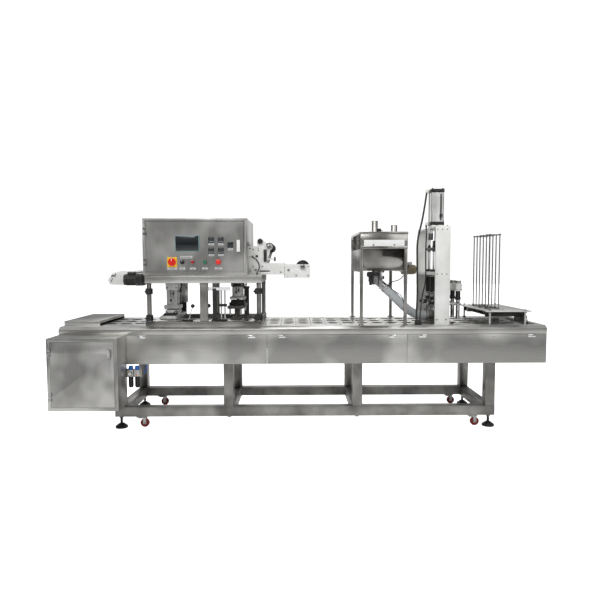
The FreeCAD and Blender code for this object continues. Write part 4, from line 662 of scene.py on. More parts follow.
# %% Screen
BOX_LEFT, TABLE_HIGH = -1306, 1270
FACE = -400
screen_x, screen_z = BOX_LEFT + 363, TABLE_HIGH + 257
GLASS = moulded("dark_screen_glass", "#1B1F22", rough=0.14, coat=0.6, wear=0.02)
LIT = moulded("screen_tile", "#3A4245", rough=0.25, wear=0.1)
AMBER = moulded("readout_grey", "#5E5B58", rough=0.4, wear=0.1)
BOARD = moulded("dark_blue_grey_case", "#2B3238", rough=0.35, wear=0.08)

bpy.ops.mesh.primitive_cube_add(size=1, location=spot(screen_x, FACE - 8.5, screen_z))
bezel = bpy.context.object
bezel.scale = (0.190, 0.006, 0.124)
only(bezel)
bpy.ops.object.transform_apply(location=True, rotation=True, scale=True)
bpy.ops.object.mode_set(mode="EDIT")
bpy.ops.mesh.select_all(action="DESELECT")
mesh = bmesh.from_edit_mesh(bezel.data)
for face in mesh.faces:
    face.select = face.normal.y < -0.9
bmesh.update_edit_mesh(bezel.data)
bpy.ops.mesh.inset(thickness=0.013, depth=0)
bpy.ops.mesh.inset(thickness=0.002, depth=-0.003)
bpy.ops.object.mode_set(mode="OBJECT")
settle(bezel, TEAL, 0.0015)
bezel.data.materials.append(GLASS)
for face in bezel.data.polygons:
    inside = abs(face.center.x - screen_x * MM) < 0.07 and abs(face.center.z - screen_z * MM) < 0.04
    face.material_index = int(inside and face.normal.y < -0.9)
tiles = repeat(slab(screen_x - 62, screen_x - 34, FACE - 9.2, FACE - 8.2, screen_z + 20, screen_z + 32, LIT,
                    0.4),
               [(32 * column, 0, -20 * row) for column in range(4) for row in range(3) if column or row])
join([bezel, *tiles], "operator_screen", "operator_door")

# %% Temperature controllers
CONTROLLERS = [(557, 285), (635, 285), (557, 198), (635, 198), (712, 245)]
pieces = []
for x, z in CONTROLLERS[:-1]:
    x, z = BOX_LEFT + x, TABLE_HIGH + z
    pieces.append(slab(x - 24, x + 24, FACE - 8.5, FACE - 5.8, z - 24, z + 24, BOARD, 1.6))
    pieces.append(slab(x - 19, x + 19, FACE - 9.2, FACE - 8.3, z - 2, z + 19, GLASS, 0.5))
    digit = [slab(x - 15, x - 10.5, FACE - 9.5, FACE - 9.0, z + 9.5, z + 10.6, AMBER),
             slab(x - 10.8, x - 9.7, FACE - 9.5, FACE - 9.0, z + 9.5, z + 16.6, AMBER)]
    pieces += repeat(digit[0],
                     [(8 * column, 0, 3 * level - 9.5 * row) for column in range(4) for row in range(2)
                      for level in range(3) if column or row or level])
    pieces += repeat(digit[1],
                     [(8 * column, 0,
                       -9.5 * row) for column in range(4) for row in range(2) if column or row])
    pieces += repeat(slab(x - 18, x - 11, FACE - 9.6, FACE - 8.3, z - 17, z - 9, GREY, 0.8),
                     [(10 * key, 0, 0) for key in (1, 2, 3)])
low_x, low_z = BOX_LEFT + CONTROLLERS[-1][0], TABLE_HIGH + CONTROLLERS[-1][1]
pieces.append(slab(low_x - 24, low_x + 24, FACE - 6.8, FACE - 5.8, low_z - 24, low_z + 24, BOARD, 0.4))
pieces.append(slab(low_x - 19, low_x + 19, FACE - 7.1, FACE - 6.7, low_z - 2, low_z + 19, GLASS, 0.2))
join(pieces, "controller_faces", "operator_door")

# %% Label plates with engraved strokes
pieces = []
strips = [(238, 80), (321, 46), (405, 46), (504, 46), (614, 60)]
for x, wide in strips:
    x, z = BOX_LEFT + x, TABLE_HIGH + 54
    pieces.append(slab(x - wide / 2, x + wide / 2, FACE - 3, FACE - 1.9, z - 8, z + 8, LABEL, 0.5))
    for row, share in ((2.5, 0.34), (-3.5, 0.22)):
        half = wide * share
        pieces += repeat(slab(x - half, x - half + 2.7, FACE - 3.3, FACE - 2.9, z + row - 1.4,
                              z + row + 1.4, BLACK),
                         [(4.4 * stroke, 0, 0) for stroke in range(1, int(half / 2.2))])
for x, z in CONTROLLERS:
    x, z = BOX_LEFT + x, TABLE_HIGH + z - 36
    pieces += repeat(slab(x - 15, x - 12.3, FACE - 2.4, FACE - 1.9, z - 2, z + 2, BLACK),
                     [(4.4 * stroke, 0, 0) for stroke in range(1, 7)])
strip_x, strip_z = BOX_LEFT + 353, TABLE_HIGH + 146
pieces += repeat(slab(strip_x - 42, strip_x - 39, FACE - 2.5, FACE - 1.9, strip_z - 3, strip_z + 3, BLACK),
                 [(4.7 * stroke, 0, 0) for stroke in range(1, 18)])
join(pieces, "legend_strokes", "operator_door")

# %% Yellow plate and button rims
switch_z = TABLE_HIGH + 106
main_x = BOX_LEFT + 238
pieces = [slab(main_x - 40, main_x + 40, FACE - 3.9, FACE - 2.9, switch_z - 40, switch_z + 40, YELLOW, 0.6)]
for turn in range(8):
    angle = math.radians(45 * turn + 22)
    centre = (main_x + 36 * math.cos(angle), FACE - 4.2, switch_z + 36 * math.sin(angle))
    pieces.append(slab(centre[0] - 1.6, centre[0] + 1.6, FACE - 4.3, FACE - 3.8, centre[2] - 1.6,
                       centre[2] + 1.6, BLACK))
join(pieces, "main_switch_legend", "operator_door")
rims = []
for x, wide, deep in ((321, 15.5, 0.007), (405, 16, 0.007), (504, 16, 0.007), (614, 16.5, 0.0024)):
    inner, outer = wide * MM * 0.84, wide * MM * 1.08
    rims.append(spun("y", spot(BOX_LEFT + x, FACE, switch_z) - Vector((0, deep, 0)),
                     [(inner, 0.0004), (wide * MM, 0.0), (outer, deep * 0.3), (outer, deep - 0.0004),
                      (inner, deep - 0.0004), (inner, 0.0004)], TURNED))
join(rims, "button_rims", "operator_door")


# %% Main switch disc and selector marks
def lobed(axis, x, y, z, radius, deep, lobes, bite, material):
    """A knob whose rim has finger scallops: a disc whose outer points are pulled in between the lobes."""
    piece = bar(axis, x, y, z, radius, deep, material, sides=lobes * 8)
    centre = spot(x, y, z)
    across, up = [number for number in range(3) if number != "xyz".index(axis)]
    for point in piece.data.vertices:
        a, b = point.co[across] - centre[across], point.co[up] - centre[up]
        if math.hypot(a, b) > radius * MM * 0.5:
            pull = 1 - bite * (0.5 + 0.5 * math.cos(lobes * math.atan2(b, a)))
            point.co[across], point.co[up] = centre[across] + a * pull, centre[up] + b * pull
    apply_modifier(piece, "BEVEL", width=abs(deep) * MM * 0.16, segments=2, limit_method="ANGLE",
                   angle_limit=math.radians(50))
    only(piece)
    bpy.ops.object.shade_smooth_by_angle(angle=math.radians(40))
    return piece


join([lobed("y", main_x, FACE - 15.5, switch_z, 32.5, 9, 12, 0.06, RED)], "main_switch_rim",
     "main_switch_knob")
mark = slab(main_x - 1.6, main_x + 1.6, FACE - 29.6, FACE - 28.7, switch_z + 8, switch_z + 27, WHITE)
join([mark], "main_switch_mark", "main_switch_knob")
mark = slab(BOX_LEFT + 321 - 1, BOX_LEFT + 321 + 1, FACE - 25.6, FACE - 24.7, switch_z + 3, switch_z + 16,
            WHITE)
join([mark], "selector_mark", "selector_switch")
ring_mark = hoop("y", spot(BOX_LEFT + 614, FACE - 22.5, switch_z), 0.0125, 0.0009, WHITE)
join([ring_mark], "stop_button_ring", "emergency_button")
print("operator's door done")

# %% [markdown]
# ## The sealing station
# Square air cylinders are held together by four tie rods with nuts in the corners, and carry a rail for the
# position sensors. Split collars clamp on the posts, each tightened by a star knob. Air comes through push-in
# elbows, so each cylinder has two, with a thin tube that goes up through the table.

# %% Press cylinders
HEADS = {"seal": (-1152, 968, 998, 1133), "cut": (-577, 1053, 1069, 1160)}
UNDER_TABLE = 1254
for name, (x, flange_low, body_low, body_high) in HEADS.items():
    pieces = []
    for side_x in (-1, 1):
        for side_y in (-1, 1):
            pieces.append(bar("z", x + side_x * 40, side_y * 40, body_low, 5.5, body_high - body_low,
                              CHROME, sides=16))
            pieces.append(bar("z", x + side_x * 57, side_y * 57, flange_low - 7, 6.5, 7, TURNED, sides=6))
            pieces.append(bar("z", x + side_x * 57, side_y * 57, body_low, 6.5, 6, TURNED, sides=6))
    for side_x in (-1, 1):
        pieces += bolts([(x + side_x * 40, -55, z) for z in (body_high + 18, UNDER_TABLE - 18)], "y", -1, 7)
    pieces.append(slab(x - 16, x - 6, -50, -46, body_low + 6, body_high - 6, TURNED, 0.8))
    pieces.append(slab(x + 6, x + 16, -50, -46, body_low + 6, body_high - 6, TURNED, 0.8))
    join(pieces, f"{name}_cylinder_fittings", "machine")
    plugs = []
    for z, way in ((body_low + 14, 1), (body_high - 14, 1)):
        side = x + way * 46
        plugs.append(bar("x", side, -12, z, 6, 12, BRASS, sides=6))
        plugs.append(bar("x", side + 12, -12, z, 7, 14, BLACK, 1, 20))
        plugs.append(bar("z", side + 19, -12, z, 6, 14, BLACK, 1, 20))
    sensor_z = body_low + 30
    plugs.append(slab(x - 18, x - 4, -55, -49, sensor_z, sensor_z + 24, BLACK, 1.2))
    plugs.append(slab(x + 4, x + 18, -55, -49, body_high - 44, body_high - 20, BLACK, 1.2))
    join(plugs, f"{name}_air_fittings", "machine")
    lines = [tube([spot(x + 65, -12, body_low + 28), spot(x + 65, -12, body_low + 60),
                   spot(x + 78, -14, body_high),
                   spot(x + 74, -16, UNDER_TABLE - 40), spot(x + 70, -18, UNDER_TABLE + 4)], 4 * MM, BLACK),
             tube([spot(x + 65, -12, body_high), spot(x + 65, -12, body_high + 20),
                   spot(x + 84, -12, body_high + 30),
                   spot(x + 88, -12, UNDER_TABLE + 4)], 4 * MM, BLACK)]
    join(lines, f"{name}_air_lines", "machine")

# %% Press plates
seal_top, cut_top = 917, 1002
pieces = []
for side_x in (-1, 1):
    for y in (-205, -90, 90, 205):
        pieces += bolts([(-1152 + side_x * 50, y, seal_top)], "z", 1, 7)
    pieces += bolts([(-1152 + side_x * 42, -67.5, 937)], "y", -1, 7)
for y in (-165, 0, 165):
    pieces.append(bar("z", -1152, y, 893, 24, -3, TURNED, sides=24))
join(pieces, "seal_press_bolts", "seal_press")
heaters = [slab(-1152 - 52, -1152 + 52, -170, -70, seal_top + 1, seal_top + 18, BLACK, 2),
           slab(-1152 - 52, -1152 + 52, 70, 170, seal_top + 1, seal_top + 18, BLACK, 2)]
join(heaters, "seal_heater_covers", "seal_press")
leads = [tube([spot(-1120, -150, seal_top + 14), spot(-1100, -150, seal_top + 50),
               spot(-1086, -140, seal_top + 30),
               spot(-1090, -80, seal_top + 24)], 3.2 * MM, BLACK)]
join(leads, "seal_heater_lead", "seal_press")
pieces = []
for side_x in (-1, 1):
    for y in (-205, -90, 90, 205):
        pieces += bolts([(-577 + side_x * 50, y, cut_top)], "z", 1, 7)
    for y in (-215, 215):
        pieces.append(bar("z", -577 + side_x * 45, y, 979, 9, -52, CHROME, sides=20))
        pieces.append(bar("z", -577 + side_x * 45, y, 927, 13, -7, DARK_STEEL, sides=20))
join(pieces, "cut_press_bolts", "cut_press")
wedges = [slab(-577 - 66, -577 - 12, -118, -68, 1004, 1026, BLACK, 3),
          slab(-577 + 12, -577 + 66, -118, -68, 1004, 1026, BLACK, 3)]
join(wedges, "cut_press_blocks", "cut_press")

# %% Clamp collars and star knobs
POSTS = ((-1273, 1), (-369, -1))
metal, knobs = [], []
for x, way in POSTS:
    for z in (895, 1114):
        knobs.append(spun("z", spot(x, -350, z), [(0.0193, 0), (0.0288, 0), (0.030, 0.0012), (0.030, 0.0448),
                                                  (0.0288, 0.046), (0.0193, 0.046), (0.0193, 0)], BLACK))
        knobs.append(slab(x - 5, x + 5, -392, -376, z + 4, z + 42, BLACK, 1.5))
        metal += bolts([(x - 5, -385, z + 12), (x - 5, -385, z + 34)], "x", -1, 4.5)
        knob_x = x + 5 if way > 0 else x - 16
        metal.append(bar("y", knob_x, -378, z + 23, 7, -20, TURNED, sides=20))
        knobs.append(bar("y", knob_x, -396, z + 23, 13, -6, BLACK, 1, 24))
        knobs.append(lobed("y", knob_x, -408, z + 23, 26, -14, 5, 0.28, BLACK))
        knobs.append(ball(spot(knob_x, -415, z + 23), 0.010, BLACK, (1, 0.5, 1)))
collars = join(knobs, "post_clamp_collars", "machine")
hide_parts("post_clamps")
join(metal, "post_clamp_screws", "machine")

# %% Post feet, centre rods and levers
feet, dark = [], []
for x, _ in POSTS:
    for side in (-1, 1):
        feet.append(bar("z", x, side * 350, 885, 27, 9, TURNED, 1, 32))
        feet += bolts([(x + dx, side * 350, 885) for dx in (-38, 38)], "z", 1, 6)
for x in (-1190, -1000, -900, -740, -620, -480):
    feet += bolts([(x, -366, 885)], "z", 1, 6.5)
for x in (-681, -651):
    feet.append(bar("z", x, -338, 903, 6.5, 246, CHROME, sides=20))
dark.append(slab(-759, -632, -360, -318, 885, 903, DARK_STEEL, 1.5))
dark.append(slab(-698, -634, -352, -324, 1008, 1030, BLACK, 2))
dark.append(slab(-752, -720, -352, -324, 903, 1160, BLACK, 2))
white_bar = [bar("x", -844, -338, 1154, 13.5, 236, WHITE, 1.5, 32)]
join(feet, "station_feet_and_rods", "machine")
join(white_bar, "station_cross_roller", "machine")


def lever(x, y, z, reach_x, reach_z, size=17):
    """A clamping lever: a steel stalk up from a hub to a black ball."""
    parts = [bar("z", x, y, z, 9, 12, TURNED, 1, 24),
             tube([spot(x, y, z + 10), spot(x + reach_x * 0.4, y, z + 10 + reach_z * 0.55),
                   spot(x + reach_x, y, z + reach_z)], 3.5 * MM, CHROME)]
    return parts, ball(spot(x + reach_x, y, z + reach_z + size * 0.6), size * MM, BLACK, (1, 1, 0.95))


stalks = []
for x, y, z, reach_x, reach_z in ((-950, -338, 885, 32, 118), (-822, -345, 885, 38, 120)):
    parts, knob = lever(x, y, z, reach_x, reach_z)
    stalks += parts
    dark.append(knob)
dark.append(slab(-1010, -918, -360, -322, 885, 899, DARK_STEEL, 1.5))
dark.append(slab(-1150, -1090, 262, 290, 885, 1002, DARK_STEEL, 2))
join(stalks, "station_lever_stalks", "machine")
join(dark, "station_dark_parts", "machine")
column = [slab(-546, -502, 250, 296, 876, 1136, CAST, 2), slab(-552, -496, 244, 302, 1136, 1150, CAST, 1.5),
          slab(-1159, -1076, 262, 290, 1002, 1250, TURNED, 2)]
join(column, "station_side_column", "machine")
print("sealing station done")

# %% [markdown]
# ## The film unit and the waste rewinder
# Film comes off the black roll at the right, over guide rollers between two pale side plates, and down to
# the sealing head. The cut web goes to the left, over the wedge-shaped nose, on to a motor-driven reel.

# %% Film unit fittings
OUTER = -260
metal, black = [], []
for x, z, radius in ((-360, 1549, 15), (-399, 1310, 11), (-124, 1307, 11)):
    metal.append(bar("y", x, OUTER, z, radius, -7, TURNED, 1, 28))
    metal += bolts([(x, OUTER - 7, z)], "y", -1, radius * 0.5)
metal += bolts([(-445, OUTER, 1300), (-445, OUTER, 1420), (-445, OUTER, 1490), (-420, OUTER, 1337),
                (-340, OUTER, 1337),
                (-420, OUTER, 1480), (-190, OUTER, 1290), (40, OUTER, 1262), (40, OUTER, 1336),
                (-60, OUTER, 1262)],
               "y", -1, 5.5)
metal.append(spun("y", spot(-292, OUTER - 20, 1518), [(0.008, 0), (0.015, 0), (0.017, 0.002),
                                                      (0.017, 0.005)], TURNED))
metal.append(bar("x", -305, -252, 1400, 5, 60, CHROME, sides=20))
black.append(lobed("x", -245, -252, 1400, 19, 14, 6, 0.2, BLACK))
black.append(bar("y", -389, OUTER, 1424, 10, -12, BLACK, 1, 24))
black += bolts([(-376, OUTER, 1470), (-376, OUTER, 1490)], "y", -1, 3.5, material=BLACK)
metal.append(slab(-160, -158, OUTER - 0.6, OUTER + 0.4, 1252, 1340, DARK_STEEL))
black.append(slab(-331, -306, OUTER - 16, OUTER, 1377, 1479, BLACK, 2))
metal += bolts([(-318, OUTER - 16, 1390), (-318, OUTER - 16, 1466)], "y", -1, 5)
black.append(slab(-368, -280, OUTER - 1.5, OUTER + 0.5, 1294, 1304, BLACK))
black.append(lobed("y", -360, OUTER - 21, 1549, 24, 12, 6, 0.18, BLACK))
black.append(tube([spot(-425, OUTER - 6, 1420), spot(-425, OUTER - 34, 1418), spot(-380, OUTER - 44, 1390),
                   spot(-362, OUTER - 40, 1330), spot(-384, OUTER - 24, 1290), spot(-392, OUTER - 2, 1272)],
                  5 * MM, BLACK))
black.append(bar("y", -425, OUTER, 1420, 8, -10, BLACK, 1, 20))
join(metal, "film_unit_bolts", "machine")
join(black, "film_unit_knobs", "machine")
inside = []
for x, z, radius, finish in ((-424, 1392, 16, CHROME), (-424, 1460, 13, CHROME)):
    inside.append(bar("y", x, -245, z, radius, 490, finish, sides=32))
join(inside, "film_guide_rollers", "machine")

# %% The roll's brake hub and the laid film
hub = [spun("y", spot(-4, -286, 1333), [(0.0, 0), (0.012, 0), (0.019, 0.002), (0.0205, 0.005),
                                        (0.0205, 0.016)], TURNED)]
join(hub, "film_roll_hub_cap", "film_roll")
turns = [hoop("y", spot(-4, side * 239.2, 1333), radius * MM, 0.0005, FILM, 48, 6)
         for side in (-1, 1) for radius in range(28, 57, 4)]
join(turns, "film_roll_layers", "film_roll")


def web(points, name):
    """The laid film: a thin sheet through given places, as wide as the roll."""
    half = 0.228
    corners = [spot(*place) for place in points]
    mesh = bpy.data.meshes.new(name)
    rows = [Vector((c.x, BODY_MIDDLE_Y + side * half, c.z)) for c in corners for side in (-1, 1)]
    mesh.from_pydata(rows, [], [(2 * i, 2 * i + 1, 2 * i + 3, 2 * i + 2) for i in range(len(corners) - 1)])
    piece = bpy.data.objects.new(name, mesh)
    bpy.context.scene.collection.objects.link(piece)
    apply_modifier(piece, "SOLIDIFY", thickness=0.0004, offset=0)
    settle(piece, FILM, smooth=60)
    return join([piece], name, "machine")


web([(-4, 0, 1274.5), (-90, 0, 1288), (-220, 0, 1318), (-340, 0, 1350), (-420, 0, 1375.5)], "film_web_feed")

# %% Waste rewinder fittings
metal, black = [], []
metal += bolts([(-1492, OUTER, 1258), (-1610, OUTER, 1221), (-1310, OUTER, 1200)], "y", -1, 6)
black += repeat(spun("x", spot(-1470, -310, 1231), [(0.045, 0), (0.0485, 0.0008), (0.0485, 0.0034),
                                                    (0.045, 0.0042)],
                     MOTOR, 32), [(8.5 * rib, 0, 0) for rib in range(1, 9)])
black.append(slab(-1452, -1396, -338, -282, 1274, 1296, MOTOR, 3))
black.append(slab(-1376, -1328, -362, -360, 1190, 1272, BLACK, 0.8))
metal += bolts([(-1368, -362, 1197), (-1336, -362, 1197), (-1368, -362, 1265), (-1336, -362, 1265)], "y",
               -1, 4)
black.append(tube([spot(-1396, -310, 1286), spot(-1372, -308, 1290), spot(-1340, -300, 1296),
                   spot(-1300, -290, 1290)],
                  4 * MM, BLACK))
join(metal, "rewinder_bolts", "machine")
join(black, "rewinder_motor_ribs", "machine")
nose = [bar("y", -1592, OUTER, 1258, 19, -6, CHROME, 1, 32),
        bar("y", -1575, OUTER, 1276, 5, -8, BLACK, 1, 20),
        bar("y", -1602, OUTER, 1238, 5, -8, BLACK, 1, 20), bar("y", -1634, -245, 1224, 8, 490, BLACK, 1, 24)]
join(nose, "rewinder_nose_rollers", "machine")
print("film path done")

# %% [markdown]
# ## The filling tower
# A large tie-rod cylinder on top lifts the crosshead, and the crosshead pulls three piston rods through ball
# couplings. Air hoses hang down the left side. The nozzles stand in collars in front of the bridge.

# %% Dosing cylinder and hoses
BIG_X, BIG_Y, BIG_LOW, BIG_HIGH = 1146, -130, 1685, 1992
metal = repeat(bar("z", BIG_X - 49, BIG_Y - 49, BIG_LOW + 30, 5.5, BIG_HIGH - BIG_LOW - 60, CHROME, sides=16),
               [(98, 0, 0), (0, 98, 0), (98, 98, 0)])
metal += bolts([(BIG_X + a * 44, BIG_Y + b * 44, BIG_HIGH) for a in (-1, 1) for b in (-1, 1)], "z", 1, 7)
metal += bolts([(BIG_X + a * 40, -345, z) for a in (-1, 0, 1) for z in (1272, 1640)], "y", -1, 5)
metal += bolts([(BIG_X + a * 38, -345, 893) for a in (-1, 1)], "y", -1, 6.5)
metal += bolts([(BIG_X + a * 38, 345, z) for a in (-1, 1) for z in (893, 1272, 1640)], "y", 1, 6)
metal += bolts([(BIG_X + a * 44, b, 1670) for a in (-1, 1) for b in (-335, 335)], "z", 1, 6)
metal += bolts([(1215, a, 1154) for a in (-120, -45, 45, 120)], "x", 1, 5.5)
metal += bolts([(1360, a, z) for a in (-190, -140, -25, 25, 140, 190) for z in (1136, 1172)], "x", 1, 4.5)
metal += bolts([(x, -198, z) for x in (1320, 1350) for z in (1136, 1172)], "y", -1, 4)
join(metal, "tower_bolts", "machine")
black = [slab(BIG_X + 22, BIG_X + 34, BIG_Y - 54, BIG_Y - 50, BIG_LOW + 40, BIG_HIGH - 40, BLACK, 0.8),
         slab(BIG_X + 18, BIG_X + 38, BIG_Y - 62, BIG_Y - 54, BIG_LOW + 62, BIG_LOW + 96, BLACK, 1.5),
         slab(1086, 1096, -150, -110, 1561, 1618, BLACK, 1),
         slab(1106, 1118, -150, -110, 1561, 1618, BLACK, 1)]
steel = [slab(1088, 1094, -146, -114, 1612, 1655, TURNED, 1),
         slab(1109, 1115, -146, -114, 1612, 1655, TURNED, 1)]
white = []
for z in (BIG_LOW + 14, BIG_HIGH - 14):
    steel.append(bar("x", BIG_X - 56, BIG_Y, z, 9, -12, BRASS, sides=6))
    white.append(slab(BIG_X - 92, BIG_X - 68, BIG_Y - 11, BIG_Y + 11, z - 13, z + 13, WHITE, 3))
    black.append(bar("z", BIG_X - 84, BIG_Y, z - 28, 8, 18, BLACK, 1, 24))
black.append(tube([spot(BIG_X - 84, BIG_Y, BIG_HIGH - 36), spot(1052, -140, 1900), spot(1020, -160, 1720),
                   spot(972, -190, 1560), spot(966, -230, 1380), spot(958, -290, 1080), spot(944, -325, 980),
                   spot(940, -345, 880)], 8 * MM, BLACK))
black.append(tube([spot(BIG_X - 84, BIG_Y, BIG_LOW - 14), spot(1062, -150, 1610), spot(1050, -170, 1500),
                   spot(1046, -200, 1330), spot(1040, -230, 1200), spot(990, -290, 1060),
                   spot(966, -345, 880)],
                  5.5 * MM, BLACK))
black.append(slab(926, 980, -360, -334, 850, 884, BLACK, 3))
join(black, "tower_air_hoses", "machine")
join(white, "tower_air_elbows", "machine")
join(steel, "tower_brackets", "machine")

# %% Couplings, shelf heads, valve parts and nozzle collars
lift = 1499
black, chrome = [], []
for lane in (-165, 0, 165):
    black.append(spun("z", spot(1162, lane, lift), [(0.0, 0), (0.011, 0), (0.014, 0.006), (0.014, 0.014),
                                                    (0.009, 0.022),
                                                   (0.006, 0.03), (0.0, 0.031)], BLACK, 28))
    chrome.append(bar("z", 1162, lane, lift - 38, 13, 14, TURNED, 1, 6))
join(black, "rod_couplings", "dosing_pistons")
chrome.append(bar("y", BIG_X, -156, lift + 36, 9, 52, CHROME, 1, 24))
join(chrome, "rod_lock_nuts", "dosing_pistons")
black, metal = [], []
for lane in (-165, 0, 165):
    black.append(spun("z", spot(1162, lane, 1285), [(0.0095, 0), (0.030, 0), (0.032, 0.002), (0.032, 0.018),
                                                   (0.026, 0.022), (0.0095, 0.022), (0.0095, 0)], BLACK, 36))
    for z in (1100, 1244):
        metal.append(hoop("z", spot(1162, lane, z), 0.0292, 0.0022, CHROME, 40, 8))
    black.append(bar("x", 1080, lane, 1018, 12, 60, BLACK, 1.5, 28))
    metal.append(bar("x", 1068, lane, 1018, 16, 12, TURNED, 1, 32))
    black.append(slab(1132, 1192, lane - 28, lane + 28, 1036, 1062, BLACK, 3))
    black.append(spun("z", spot(1335, lane, 1046), [(0.0172, 0), (0.023, 0), (0.024, 0.002), (0.024, 0.020),
                                                   (0.023, 0.022), (0.0172, 0.022), (0.0172, 0)], BLACK, 36))
    metal.append(hoop("z", spot(1335, lane, 884), 0.0172, 0.0016, CHROME, 36, 8))
    metal.append(hoop("z", spot(1335, lane, 960), 0.0172, 0.0022, CHROME, 36, 8))
metal.append(slab(1316, 1354, -205, -183, 1006, 1018, TURNED, 1))
join(black, "filling_black_parts", "machine")
join(metal, "filling_bright_rings", "machine")
print("filling tower done")

# %% [markdown]
# ## The hopper
# A bright sheet tank on four legs. The lid's seam, the window strip's screws, the clamp rings at the valve
# and the cup-shaped feet of the lid's pipes are what make it read as folded and welded sheet.

# %% Tank trim
LEFT_X, RIGHT_X, FRONT, BACK = 464, 852, -390, 360
metal, black = [], []
metal += bolts([(570, FRONT - 3, 1512), (742, FRONT - 3, 1512)], "y", -1, 6)
metal += bolts([(x, FRONT - 6, 1489) for x in (500, 816)], "y", -1, 4)
for x in (476.5, 839.5):
    for y in (FRONT + 18, BACK - 18):
        metal.append(slab(x - 26, x + 26, y - 18 if y > 0 else y - 13, y + 13 if y > 0 else y + 18, 850,
                          856, TURNED, 1))
        metal += bolts([(x - 19, y, 856), (x + 19, y, 856)], "z", 1, 5)
weld = [tube([spot(LEFT_X + 2, FRONT + 1, 1481), spot(LEFT_X + 2, FRONT + 1, 1598)], 1.6 * MM, TURNED),
        tube([spot(RIGHT_X - 2, FRONT + 1, 1481), spot(RIGHT_X - 2, FRONT + 1, 1598)], 1.6 * MM, TURNED)]
join(metal + weld, "hopper_screws_and_feet", "machine")
trim = []
for x, y, top in ((628, -60, 1728), (772, -200, 1682)):
    trim.append(hoop("z", spot(x, y, 1621.5), 0.0275, 0.0026, TANK, 40, 8))
    trim.append(hoop("z", spot(x, y, top), 0.0262, 0.0022, TANK, 40, 8))
join(trim, "lid_pipe_rings", "hopper_lid")
clamp = [slab(653, 682, -78, -50, 1628, 1664, BLACK, 3), bar("x", 676, -64, 1646, 5, 22, TURNED, sides=16)]
join(clamp, "lid_pipe_clamp", "hopper_lid")

# %% Valve, coupling and agitator drive
VALVE_X, VALVE_Y = 629, -200
rings, dark = [], []
for z, radius, thick in ((1297, 41, 4.5), (1241, 41, 4.5), (1184, 43, 3.0)):
    rings.append(hoop("z", spot(VALVE_X, VALVE_Y, z), radius * MM, thick * MM, TURNED, 48, 10))
for z in (1297, 1241):
    rings.append(slab(VALVE_X + 36, VALVE_X + 58, VALVE_Y - 9, VALVE_Y + 9, z - 7, z + 7, TURNED, 1.5))
    rings.append(bar("y", VALVE_X + 52, VALVE_Y - 24, z, 4, 48, CHROME, sides=16))
    dark.append(slab(VALVE_X + 46, VALVE_X + 58, VALVE_Y - 34, VALVE_Y - 22, z - 14, z + 14, BLACK, 2))
dark.append(slab(VALVE_X - 70, VALVE_X - 36, VALVE_Y - 16, VALVE_Y + 16, 1204, 1290, BLACK, 3))
dark.append(bar("z", VALVE_X - 54, VALVE_Y, 1176, 12, 28, DARK_STEEL, 1, 24))
rings.append(slab(640, 668, -262, -244, 1142, 1292, TURNED, 2))
join(rings, "valve_clamp_rings", "machine")
join(dark, "valve_dark_parts", "machine")
wing = lobed("y", 546, -266, 1269, 22, -14, 2, 0.45, BLACK)
join([wing], "valve_wing", "valve_handle")
drive = [bar("x", 992, 0, 1306, 38, 10, OCHRE, 3, 40)]
drive += repeat(spun("x", spot(886, 0, 1306), [(0.041, 0), (0.0442, 0.0008), (0.0442, 0.0030),
                                               (0.041, 0.0038)], OCHRE, 40),
                [(9 * rib, 0, 0) for rib in range(1, 11)])
drive.append(slab(910, 966, -26, 26, 1344, 1372, LABEL, 3))
join(drive, "agitator_motor_ribs", "machine")
extras = bolts([(878, a, z) for a in (-38, 38) for z in (1299, 1377)], "x", 1, 4.5)
extras += bolts([(918, -18, 1372), (958, -18, 1372), (918, 18, 1372), (958, 18, 1372)], "z", 1, 3)
join(extras, "agitator_motor_bolts", "machine")
wires = [tube([spot(938, -28, 1356), spot(930, -60, 1330), spot(880, -90, 1250), spot(830, -110, 1212),
               spot(780, -120, 1205), spot(742, -150, 1190)], 3.5 * MM, BLACK),
         tube([spot(742, -150, 1190), spot(720, -240, 1170), spot(760, -330, 1130), spot(838, -355, 1080),
               spot(842, -352, 900)], 3.5 * MM, BLACK)]
join(wires, "agitator_motor_cable", "machine")
print("hopper done")

# %% [markdown]
# ## The cup dispenser
# Twelve thin rods hold three stacks of cups over round holes. A sliding plate under the platform lets go of
# one row of cups at a time, pushed by a small air cylinder.

# %% Dispenser fittings
metal, dark = [], []
for lane in (-165, 0, 165):
    dark.append(spun("z", spot(1630, lane, 928), [(0.056, 0), (0.066, 0), (0.067, 0.001), (0.067, 0.027),
                                                  (0.066, 0.028),
                                                 (0.056, 0.028), (0.056, 0)], DARK_STEEL, 48))
    for a in (-1, 1):
        for b in (-1, 1):
            metal.append(bar("z", 1630 + a * 42, lane + b * 42, 975, 8.5, 10, TURNED, 0.8, 20))
            metal.append(bar("z", 1630 + a * 42, lane + b * 42, 1605, 7, 6, TURNED, 0.8, 6))
for x in (1550, 1845):
    for y in (-350, 350):
        metal.append(bar("z", x, y, 850, 17, 8, TURNED, 1, 28))
        metal.append(bar("z", x, y, 946, 14, 11, TURNED, 1, 6))
        metal += bolts([(x, y, 967)], "z", 1, 9)
metal += bolts([(x, y, 967) for x in (1568, 1692) for y in (-257, 257)], "z", 1, 6)
join(metal, "dispenser_bolts", "machine")
for y in (-300, 285):
    dark.append(slab(1530, 1870, y, y + 16, 912, 956, DARK_STEEL, 2))
    dark.append(slab(1775, 1862, y - 12 if y < 0 else y + 2, y + 14 if y < 0 else y + 28, 872, 914, BLACK, 3))
dark.append(slab(1790, 1842, -270, 270, 930, 956, DARK_STEEL, 2))
join(dark, "separator_dark_parts", "machine")
